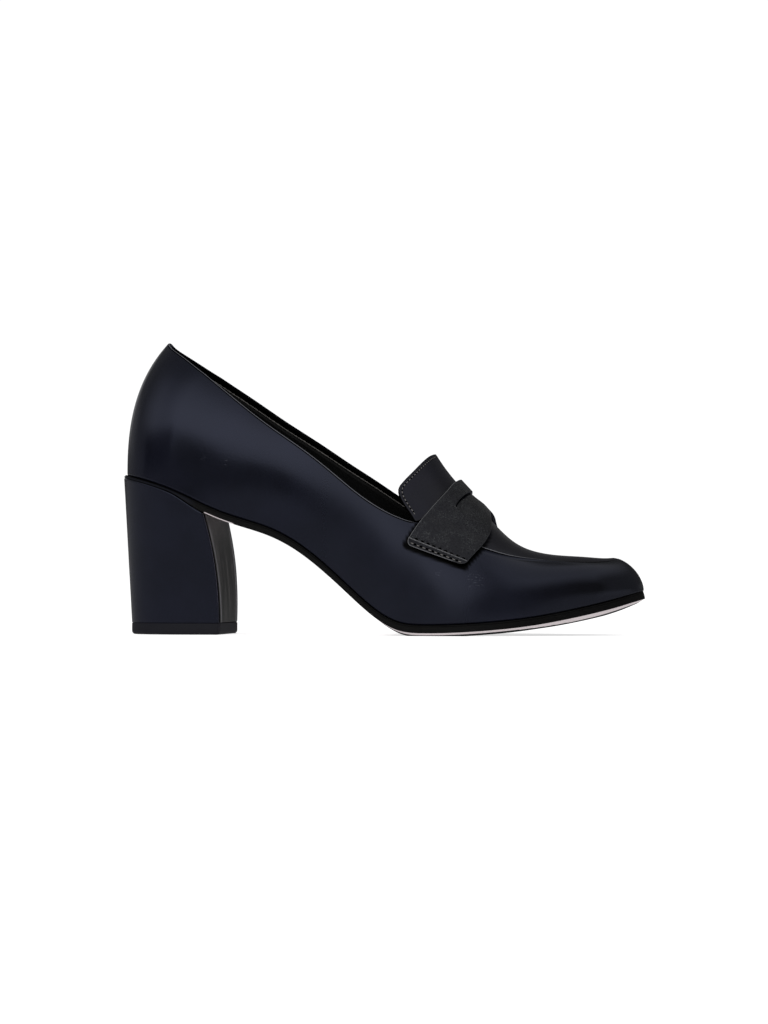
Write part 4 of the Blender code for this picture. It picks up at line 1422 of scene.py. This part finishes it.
def sole_paint(along, seat):
    """Two values for each point of the section. Pale is the whole underside in the waist, a share of the
    bevel in front, and the raw lower rim of the edge beside the breast. Seat is the strip over the heel."""
    blank = np.zeros((ACROSS_STEPS, len(along)))
    no_bevel = 0 * BEVEL_SHARES

    def section(edge, bevel, tread=blank):
        half = np.concatenate([edge + 0 * along, bevel + 0 * along])
        return np.concatenate([half, tread, half[::-1], blank])

    forepart = ease(along, TREAD_START - 2 * PAINT_FADE, TREAD_START)
    pale_end = PALE_END + PALE_AT_TOE * ease(along, *PALE_TOE)
    pale = section(EDGE["pale"], no_bevel + 1, blank + 1) * (1 - forepart)
    # In front, the lower bevel and the tread stay black: painted shade where the sole stands on the floor.
    pale = pale + section(EDGE["pale"], BEVEL_SHARES < pale_end) * forepart
    starts, ends = (ease(along, place, place + PAINT_FADE) for place in BREAST_RIM)
    rim = section(EDGE["down"] > RAW_RIM, no_bevel) * starts * (1 - ends)
    strip = section((SEAT_STRIP[0] < EDGE["down"]) & (EDGE["down"] < SEAT_STRIP[1]), no_bevel)
    return np.maximum(pale * (1 - seat), rim), strip * seat


print("the sole's edge has", len(EDGE_ROWS) + len(BEVEL_SHARES), "rows")


# %% Make the outsole
def make_outsole():
    """A closed loop at each place along: down the outer edge, across the tread, and up and back again."""
    turn = np.linspace(0, 1, SOLE_COLUMNS)
    along = along_of(turn)
    seat = 1 - ease(along, SEAT_END - SEAT_FADE, SEAT_END)
    outer, inner = sole_edge(-turn, seat), sole_edge(turn, seat)[::-1]
    tread, top = across(outer[-1], inner[0]), across(inner[-1], outer[0])
    pale, strip = sole_paint(along, seat)
    return closed_piece("leather_sole", np.concatenate([outer, tread, inner, top]), (True, False),
                        sole_leather.material, ["outsole"],
                        {"pale": pale, "seat": strip}, sharp=40)


make_outsole()

# %% [markdown]
# The heel is a block under one leather cover that wraps round to the breast, the face towards the toe. A
# glossy strip of leather covers the breast itself and stands a hair proud between the wrapped edges. A cube
# could be cut and bent into the block, but its back has to follow the last's plan. So its outline at each
# height is a closed curve: round the back from that plan, two small round corners, and straight across the
# breast.

# %% Sizes of the heel
HEEL_LEDGE = 0.0015
HEEL_FOOT_BACK = 0.0020
HEEL_FOOT_WIDTH = 0.0420
BREAST_FOOT = 0.0470
BREAST_SWEEP = 0.0062
BREAST_CURVE = 2.5
LIFT_THICKNESS = 0.0052
LIFT_CORNER = 0.0016
LIFT_ROUND_LOW = 0.0016
LIFT_ROUND_HIGH = 0.0003
COVER_FOOT = LIFT_THICKNESS + FIT_GAP / 5  # height where both covers end, over the top piece
COVER_REACH = 1.5 * FIT_GAP  # how far a heel piece reaches into the one over it
HEEL_CORNER = 0.0009
HEEL_TOP_ROUND = 0.0008
HEEL_FOOT_ROUND = 0.0004
BREAST_RECESS = 0.0003
HEEL_ROUND_STEPS = 220
HEEL_EVEN = (0.02, 0.97)  # shares of its height between which its outlines are evenly spaced
HEEL_RISE_STEPS = 90
HEEL_END_STEPS = (8, 12)  # outlines below and above that
LIFT_STEPS = 26
CAP_RINGS = (  # which ring is drawn in, to what share of its size, and whether it reaches up
    (0, 0.0, 0),
    (0, 0.6, 0),
    (-1, 0.92, 1),
    (-1, 0.6, 1),
    (-1, 0.0, 1),
)
BREAST_STEPS = 24
CORNER_STEPS = 7
print("heel, mm: foot", round(1000 * HEEL_FOOT_WIDTH, 1), "wide,", round(1000 * BREAST_FOOT, 1), "long")


# %% The heel's outline
def heel_back_curve(share):
    """The open curve round the back at a height share, 0 at the foot and 1 under the sole, as x and y."""
    breast_top = BREAST_FOOT - BREAST_SWEEP
    turn = float(turn_of(breast_top / LAST_LENGTH))
    rim = feather_point(np.linspace(-turn, turn, HEEL_ROUND_STEPS), HEEL_LEDGE) - ORIGIN
    back_x, breast_x, half_y = rim[:, 0].min(), rim[:, 0].max(), rim[:, 1].max()
    share_x = (rim[:, 0] - back_x) / (breast_x - back_x)
    share_y = rim[:, 1] / half_y
    back = HEEL_FOOT_BACK + share * (-HEEL_LEDGE - HEEL_FOOT_BACK)
    breast = BREAST_FOOT - BREAST_SWEEP * share**BREAST_CURVE
    half = HEEL_FOOT_WIDTH / 2 + share * (half_y - HEEL_FOOT_WIDTH / 2)
    return back + share_x * (breast - back), share_y * half


def heel_outline(share, recess=0.0, corner=HEEL_CORNER):
    """The closed outline: round the back, a round corner, across the breast, a round corner."""
    x, y = heel_back_curve(share)
    breast, half = x.max() - recess, np.abs(y).max()
    inside = x <= breast - corner
    x, y = x[inside], y[inside]
    angle = np.linspace(0, math.pi / 2, CORNER_STEPS)
    corner_x, corner_y = breast - corner + corner * np.sin(angle), corner - half - corner * np.cos(angle)
    outer_corner = np.stack([corner_x, corner_y])
    inner_corner = (outer_corner * np.array([[1], [-1]]))[:, ::-1]
    straight = np.linspace(-half + corner, half - corner, BREAST_STEPS)[1:-1]
    breast_line = np.stack([np.full(len(straight), breast), straight])
    return np.concatenate([np.stack([x, y])[:, ::-1], outer_corner, breast_line, inner_corner], axis=1).T


def moved_inwards(plan, inset):
    """A closed outline moved inwards, square to the line between each point's two neighbours."""
    along_it = np.roll(plan, -1, axis=0) - np.roll(plan, 1, axis=0)
    return plan + unit(np.stack([-along_it[:, 1], along_it[:, 0]], axis=-1)) * inset


def seat_underside(x):
    """Height of the outsole's underside over the heel, less the clearance."""
    along = np.clip(x / LAST_LENGTH, 0, 1)
    return feather_height(along, -1) - sole_thickness(along) - 2 * FIT_GAP


print("heel under the sole at the back, mm high:", round(1000 * float(seat_underside(0.0)), 1))


# %% Make the heel's cover
def capped(rings):
    """A closed solid from rings of points. Its ends are drawn in to their middles, and the upper one
    reaches up into its neighbour, as glue would, so that no light comes through."""
    ends = []
    for end, share, up in CAP_RINGS:
        middle_point = rings[end].mean(axis=0)
        ends.append(middle_point + (rings[end] - middle_point) * share + (0, 0, COVER_REACH * up))
    return np.concatenate([ends[:2], rings, ends[2:]])


def resampled(plan, count):
    """A closed outline with another number of points, evenly spread over the old ones."""
    if len(plan) == count:
        return plan
    old, new = (np.linspace(0, 1, size, endpoint=False) for size in (len(plan), count))
    return np.stack([np.interp(new, old, plan[:, axis]) for axis in (0, 1)], axis=-1)


def make_heel():
    """Outlines from the foot up to the sole, drawn in along quarter circles at both ends."""
    rings, corners = [], len(heel_outline(1.0))
    low, high = HEEL_EVEN
    below, above = (cosine_steps(count) for count in HEEL_END_STEPS)
    evenly = np.linspace(low, high, HEEL_RISE_STEPS)[1:-1]
    shares = np.concatenate([low * below, evenly, high + (1 - high) * above])
    for share in shares:
        plan = resampled(heel_outline(share, recess=BREAST_RECESS), corners)
        height = seat_underside(plan[:, 0]) - COVER_FOOT
        inset = drawn_in(HEEL_TOP_ROUND, height * (1 - share)) + drawn_in(HEEL_FOOT_ROUND, height * share)
        plan = moved_inwards(plan, inset[:, None])
        rings.append(ORIGIN + np.column_stack([plan, COVER_FOOT + share * height]))
    return closed_piece("heel_cover", capped(np.array(rings)), (False, True), side_leather.material,
                        ["heel_block"])


make_heel()

# %% Make the breast's cover
BREAST_BORDER = 0.0011  # wrapped edge of the heel's cover beside the breast's own cover
BREAST_WALL = 0.0010
BREAST_ROUND = 0.0004  # of its cut edge
BREAST_ENDS = (0.004, 0.998)  # shares of the heel's height
BREAST_GRID = (70, 30)


def make_breast():
    """A slab down the breast, between the wrapped edges, bent as the breast is."""
    low, high = BREAST_ENDS
    share = low + (high - low) * cosine_steps(BREAST_GRID[0])[:, None]
    width = cosine_steps(BREAST_GRID[1]) * 2 - 1
    curves = [heel_back_curve(one) for one in share[:, 0]]
    front = np.array([x.max() for x, _ in curves])[:, None]
    half = np.array([np.abs(y).max() for _, y in curves])[:, None] - BREAST_BORDER
    x = front - BREAST_WALL / 2 + 0 * width
    y = half * width
    z = COVER_FOOT + share * (seat_underside(x) - COVER_FOOT)
    surface = ORIGIN + np.stack([x, y, z], axis=-1)
    direction = unit(np.cross(np.gradient(surface, axis=1), np.gradient(surface, axis=0)))
    values = {"side": [half - np.abs(y)], "top": [z[-1] - z]}
    return slab("breast_cover", [surface], [direction], BREAST_WALL, BREAST_ROUND, breast_leather.material,
                values=values)


make_breast()


# %% Make the top piece
def make_top_piece():
    """The rubber lift: the heel's foot outline, with a round lower edge and a fine upper one."""
    plan = heel_outline(0.0, corner=LIFT_CORNER)
    rings = []
    for height in LIFT_THICKNESS * cosine_steps(LIFT_STEPS):
        inset = drawn_in(LIFT_ROUND_LOW, height) + drawn_in(LIFT_ROUND_HIGH, LIFT_THICKNESS - height)
        rings.append(ORIGIN + np.column_stack([moved_inwards(plan, inset), np.full(len(plan), height)]))
    return closed_piece("top_piece_rubber", capped(np.array(rings)), (False, True), black_rubber.material,
                        ["top_piece"])


make_top_piece()

# %% [markdown]
# ## Stitches and needle holes
#
# A stitch is a short bead of thread that dips into a hole at both ends. An Array modifier on a curve could
# repeat one. Here one bead is a small closed form of a few dozen faces, and all the beads of a row are
# placed at once as arrays, each turned to its own place on the leather. A row's size is a bead's length,
# width and height.

# %% Sewing helpers
BEAD_RINGS = 3
BEAD_SIDES = 8


def bead():
    """A sphere of unit size as points and four-sided faces, its poles at both ends of its length."""
    polar = np.linspace(0, math.pi, BEAD_RINGS + 2)[:, None]
    round_it = np.linspace(0, 2 * math.pi, BEAD_SIDES, endpoint=False)
    points = np.stack(np.broadcast_arrays(np.cos(polar), np.sin(polar) * np.cos(round_it),
                                          np.sin(polar) * np.sin(round_it)), axis=-1).reshape(-1, 3)
    faces = grid_faces(BEAD_RINGS + 2, BEAD_SIDES, round_columns=True)
    first, faces = welded(points, faces)
    return points[first], faces


def sewn(name, lines, directions, spacing, size, finish, slot, shift=0.0, sink=0.0):
    """Beads along lines of points. They are spaced evenly by length. Size is a bead's length, width and
    height, shift moves them along by a share of the spacing, and sink lowers them."""
    unit_points, unit_faces = bead()
    beads, faces, first = [], [], 0
    for line, direction in zip(lines, directions):
        length = length_along(line)
        count = max(int(length[-1] / spacing), 1)
        places = (np.arange(count) + 0.5 + shift) * length[-1] / count
        places = places[places < length[-1]]

        def at(values, offset=0.0):
            columns = [np.interp(places + offset, length, values[:, axis]) for axis in range(3)]
            return np.stack(columns, axis=-1)

        up = unit(at(direction))
        forward = unit(at(line, spacing / 4) - at(line, -spacing / 4))
        sideways = unit(np.cross(up, forward))
        axes = np.stack([forward, sideways, unit(np.cross(forward, sideways))], axis=1) * (
            np.array(size)[:, None] / 2)
        placed = (at(line) - up * sink)[:, None] + unit_points @ axes
        offsets = first + np.arange(len(placed))[:, None, None] * len(unit_points)
        faces.append((offsets + unit_faces).reshape(-1, 4))
        beads.append(placed.reshape(-1, 3))
        first += placed.shape[0] * placed.shape[1]
    return piece(name, np.concatenate(beads), np.concatenate(faces), finish.material)


def beside(line, direction, inset):
    """A line moved sideways within the surface that it lies on. A positive inset moves it to its left."""
    forward = unit(np.gradient(line, axis=0))
    return line + unit(np.cross(direction, forward)) * inset


print("a bead has", len(bead()[1]), "faces")


# %% Sew the topline
TOPLINE_SPACING = 0.0025
TOPLINE_STITCH = (0.0031, 0.00055, 0.00045)
TOPLINE_SEWN = (0.002, THROAT - 0.01)  # places along the last between which it is sewn
TOPLINE_DROP = 0.9 * FOLD_DEPTH
SEWING_POINTS = 200


def topline(side, depth, drop):
    """The topline's line on one side, from the heel's back to the throat, at a depth inside the outer
    surface and a drop below the roll."""
    turn = side * turn_of(np.linspace(*TOPLINE_SEWN, SEWING_POINTS))
    _, start, stretch, _ = rolled_edge(turn)
    climb = start - drop / stretch
    normal = last_normal(turn, climb)
    return last_point(turn, climb) - normal * depth, -normal


inside_lines = [topline(side, UPPER_WALL, TOPLINE_DROP) for side in (-1, 1)]
sewn("topline_stitches", *zip(*inside_lines), TOPLINE_SPACING, TOPLINE_STITCH, thread, "lining_leather")


# %% Sew the tongue
TONGUE_STITCH_IN = 0.0017
TONGUE_SEWN = slice(1, -6)  # points of the edge's line that are sewn
TONGUE_SPACING = 0.0019
TONGUE_STITCH = (0.0013, 0.00042, 0.00040)
TONGUE_HOLE = (0.0009, 0.0008, 0.0003)
TONGUE_POINTS = 120


def tongue_edge(side):
    """The tongue's free edge on one side, from the crest to the rim, on its upper surface, as points that
    are evenly spaced."""
    turn, climb = (part[::-1, -1] for part in tongue_grid(side))
    line, direction = over_last(turn, climb, tongue_height(climb, 1.0))
    length = length_along(line)
    places = np.linspace(0, 1, TONGUE_POINTS) * length[-1]
    return [np.stack([np.interp(places, length, values[:, axis]) for axis in range(3)], axis=-1)
            for values in (line, direction)]


tongue_lines = []
for side in (-1, 1):
    line, direction = tongue_edge(side)
    seam_line = beside(line, direction, -side * TONGUE_STITCH_IN)
    tongue_lines.append((seam_line[TONGUE_SEWN], direction[TONGUE_SEWN]))
sewn("tongue_stitches", *zip(*tongue_lines), TONGUE_SPACING, TONGUE_STITCH, thread, "tongue_leather")
sewn("tongue_holes", *zip(*tongue_lines), TONGUE_SPACING, TONGUE_HOLE, needle_hole_shade, "tongue_leather",
     shift=0.5)


# %% Sew the strap's ends
STRAP_SPACING = 0.0027
STRAP_ROW_POINTS = 80


def strap_row(side, inset):
    """A line across the strap's end, at a distance in from it, on its upper surface."""
    stretch = stretch_at(-turn_of(STRAP["slot"](STRAP_END)), STRAP_END + CLIMB_STEP)
    climb = STRAP_END + inset / stretch
    margin = STITCH_ROWS[0] / LAST_LENGTH
    along = np.linspace(STRAP["back"](climb) + margin, STRAP["front"](climb) - margin, STRAP_ROW_POINTS)
    turn = side * turn_of(along)
    height = strap_height(turn, climb) + STRAP_WALL / 2 - STITCH_PULL
    return over_last(turn, climb, height)


outer_row, inner_row = ([strap_row(side, inset) for side in (-1, 1)] for inset in STITCH_ROWS)
for name, lines, size, finish, shift, sink in (
    ("strap_stitches", outer_row, (0.0016, 0.00050, 0.00060), thread, 0.0, 0.0),
    ("strap_stitch_holes", outer_row, (0.0015, 0.0012, 0.0006), needle_hole_shade, 0.5, 0.0),
    ("strap_inner_holes", inner_row, (0.0018, 0.0010, 0.0008), needle_hole_shade, 0.2, -0.0001),
    ("strap_inner_stitches", inner_row, (0.0012, 0.00035, 0.00035), dark_thread, 0.7, 0.0),
):
    sewn(name, *zip(*lines), STRAP_SPACING, size, finish, "strap_leather", shift, sink)

# %% [markdown]
# ## Floor and light
#
# The photograph shows the shoe on pure white. Polished dark leather shows little of its own colour: it is a
# dim mirror of the studio, so its look is made by what stands round it. White cards and black flags could
# be planes, but then they would light the matt surfaces too, and stand in the way of other views. So the
# studio is a formula of the turn and the rise of a direction, and only polished surfaces see it. A long
# white cloth hangs in front, low before the quarter and climbing over the toe. Black flags over the horizon
# put dark bands under it, a narrow strip lights the heel's back and a low one the wall of the toe, and the
# walls are dim. The camera sees a white floor and surround, and matt surfaces an even fill.

# %% Floor
FLOOR_REACH = 30.0
FLOOR_GLOW = 0.66  # light of its own, which makes it as white as the surround
FLOOR_RANGE = (2.0, 6.0)  # distances between which its light in polished surfaces fades
FLOOR_IN_POLISH = (0.19, 0.05)  # that light at the one and at the other
FLOOR_CARD = 0.7  # share of that light that a black card in front takes away
CARD_X = (-0.8, 0.3)
CARD_Y = (-3.5, -0.5)
CARD_FADE = 0.15


def make_floor():
    """A white plane that polished surfaces see dim."""
    finish = Finish("floor", Roughness=0.9, Specular_IOR_Level=0.1, Emission_Color=(1, 1, 1, 1),
                    Emission_Strength=FLOOR_GLOW)
    speckle = finish.noise(0.02, 2.0, 0.5)
    finish.feed("Base Color", finish.mix(speckle, tone(236, 236, 236), tone(240, 240, 240)))
    glossy = finish.add("ShaderNodeLightPath", out="Is Glossy Ray")
    apart = finish.add("ShaderNodeVectorMath", {"operation": "LENGTH"}, {0: finish.place}, out="Value")
    split = finish.outputs_of("ShaderNodeSeparateXYZ", {"Vector": finish.place})
    card = split["X"].within(*CARD_X, CARD_FADE) * split["Y"].within(*CARD_Y, CARD_FADE)
    lit = apart.between(*FLOOR_RANGE, *FLOOR_IN_POLISH) * (1 - FLOOR_CARD * card)
    dim = finish.add("ShaderNodeEmission", inputs={"Color": lit, "Strength": 1.0})
    finish.show(finish.either(glossy, Socket(finish, finish.shader.outputs[0]), dim))
    mesh = bpy.data.meshes.new("floor")
    corners = [(x * FLOOR_REACH, y * FLOOR_REACH, 0) for x, y in ((-1, -1), (1, -1), (1, 1), (-1, 1))]
    mesh.from_pydata(corners, [], [(0, 1, 2, 3)])
    mesh.materials.append(finish.material)
    floor = bpy.data.objects.new("floor", mesh)
    bpy.context.scene.collection.objects.link(floor)


make_floor()
print("floor reaches", FLOOR_REACH, "m")

# %% Room
FILL = 0.60  # what matt surfaces see
SURROUND = 1.05  # what the camera sees
LONG_FLAG = 0.92  # share of the walls' light that the long flag takes away
ROUND_FLAG = 0.85  # and the round flag
ROUND_FLAG_PLACE = (46, 20)
ROUND_FLAG_EDGE = (0.14, 0.36)  # distance from its middle, between unit directions
STRIP_LIGHT = 0.16
LOW_STRIP_LIGHT = 0.15


def direction_towards(turn, rise):
    """Unit direction at a turn from the front towards the toe and a rise over the horizon, in degrees."""
    turn, rise = math.radians(turn), math.radians(rise)
    return Vector((math.sin(turn) * math.cos(rise), -math.cos(turn) * math.cos(rise), math.sin(rise)))


def cloth_light(turn, rise):
    """Light of the white cloth. Its hem hangs lowest a little to the left of the front, and it climbs over
    the toe. To the left it is sharp, to the right soft. The light falls off upwards over the front."""
    hem = turn.between(-28, -6, 12, -1) + turn.between(-16, 40, 0, 46) + turn.between(45, 75, 0, 6)
    soft = turn.between(-15, 30, 3, 13)
    strength = turn.between(-45, -15, 0.40, 0.58) - turn.between(0, 45, 0, 0.33)
    strength = strength * turn.between(-105, -55) * (1 - turn.between(150, 179))
    upwards = 1 - rise.between(20, 55) * turn.between(0, 30, 0.85, 0)
    return rise.between(hem - soft, hem + soft) * strength * upwards


def studio_light(turn, rise, backwards, apart):
    """Light of the studio: dim walls, less what two black flags take away, two strips and the cloth. The
    walls are lit a little behind the shoe, close over the horizon. Backwards is a direction's part straight
    behind the shoe, and apart its distance from the round flag's middle."""
    walls = turn.between(-95, -75, 0.12, 0.10) * backwards.between(0.3, 0.9, 1, 0.6)
    walls = walls + backwards.between(0.2, 0.6) * rise.within(5, 14, 3) * 0.07
    long_flag = turn.within(-72, -12, 8) * rise.within(0, 9, 2)
    round_flag = 1 - apart.between(*ROUND_FLAG_EDGE)
    strip = turn.within(-168, -140, 5) * rise.within(7, 20, 4)
    low_strip = turn.between(32, 50) * (1 - turn.between(80, 100)) * rise.within(-10, 6, 5)
    walls = walls * (1 - LONG_FLAG * long_flag) * (1 - ROUND_FLAG * round_flag)
    return walls + STRIP_LIGHT * strip + LOW_STRIP_LIGHT * low_strip + cloth_light(turn, rise)


def make_room():
    """The surround: white to the camera, an even fill to matt surfaces, and the studio to polished ones.
    Turns and rises are in degrees."""
    world = bpy.data.worlds.new("studio")
    bpy.context.scene.world = world
    room = Nodes(world)
    way = room.add("ShaderNodeTexCoord", out="Generated")
    split = room.outputs_of("ShaderNodeSeparateXYZ", {"Vector": way})
    turn = room.add("ShaderNodeMath", {"operation": "ARCTAN2"}, {0: split["X"], 1: 0 - split["Y"]})
    rise = room.add("ShaderNodeMath", {"operation": "ARCSINE"}, {0: split["Z"]})
    turn, rise = turn * math.degrees(1), rise * math.degrees(1)
    places = {0: way, 1: direction_towards(*ROUND_FLAG_PLACE)}
    apart = room.add("ShaderNodeVectorMath", {"operation": "DISTANCE"}, places, out="Value")
    path = room.outputs_of("ShaderNodeLightPath")
    glossy = path["Is Glossy Ray"]
    level = glossy * studio_light(turn, rise, split["Y"], apart) + (1 - glossy) * FILL
    seen = room.add("ShaderNodeBackground", inputs={"Color": (1, 1, 1, 1), "Strength": SURROUND})
    thrown = room.add("ShaderNodeBackground", inputs={"Color": level, "Strength": 1.0})
    room.show(room.either(path["Is Camera Ray"], thrown, seen))
    print("studio of", len(room.tree.nodes), "nodes")


make_room()

# %% Soft boxes
MIDDLE = Vector((0, 0, 0.08))


def soft_box(name, turn, rise, away, size, brightness):
    """A rectangular soft box that faces the shoe. Its power is its brightness times pi times its area. It
    lights and shades the matt surfaces, and polished ones see the cloth in its place."""
    light = bpy.data.lights.new(name, "AREA")
    light.shape, light.size, light.size_y = "RECTANGLE", size[0], size[1]
    light.energy = brightness * math.pi * size[0] * size[1]
    made = bpy.data.objects.new(name, light)
    made.visible_glossy = False
    way = direction_towards(turn, rise)
    made.location = MIDDLE + way * away
    made.rotation_euler = (-way).to_track_quat("-Z", "Y").to_euler()
    bpy.context.scene.collection.objects.link(made)
    print(name, "at", [round(part, 2) for part in made.location], "with", round(light.energy, 1), "W")


soft_box("front_box", -12, 18, 2.5, (2.0, 1.1), 0.66)
soft_box("top_box", 60, 62, 1.5, (0.9, 0.9), 0.55)
bpy.context.scene.view_settings.view_transform = "Standard"
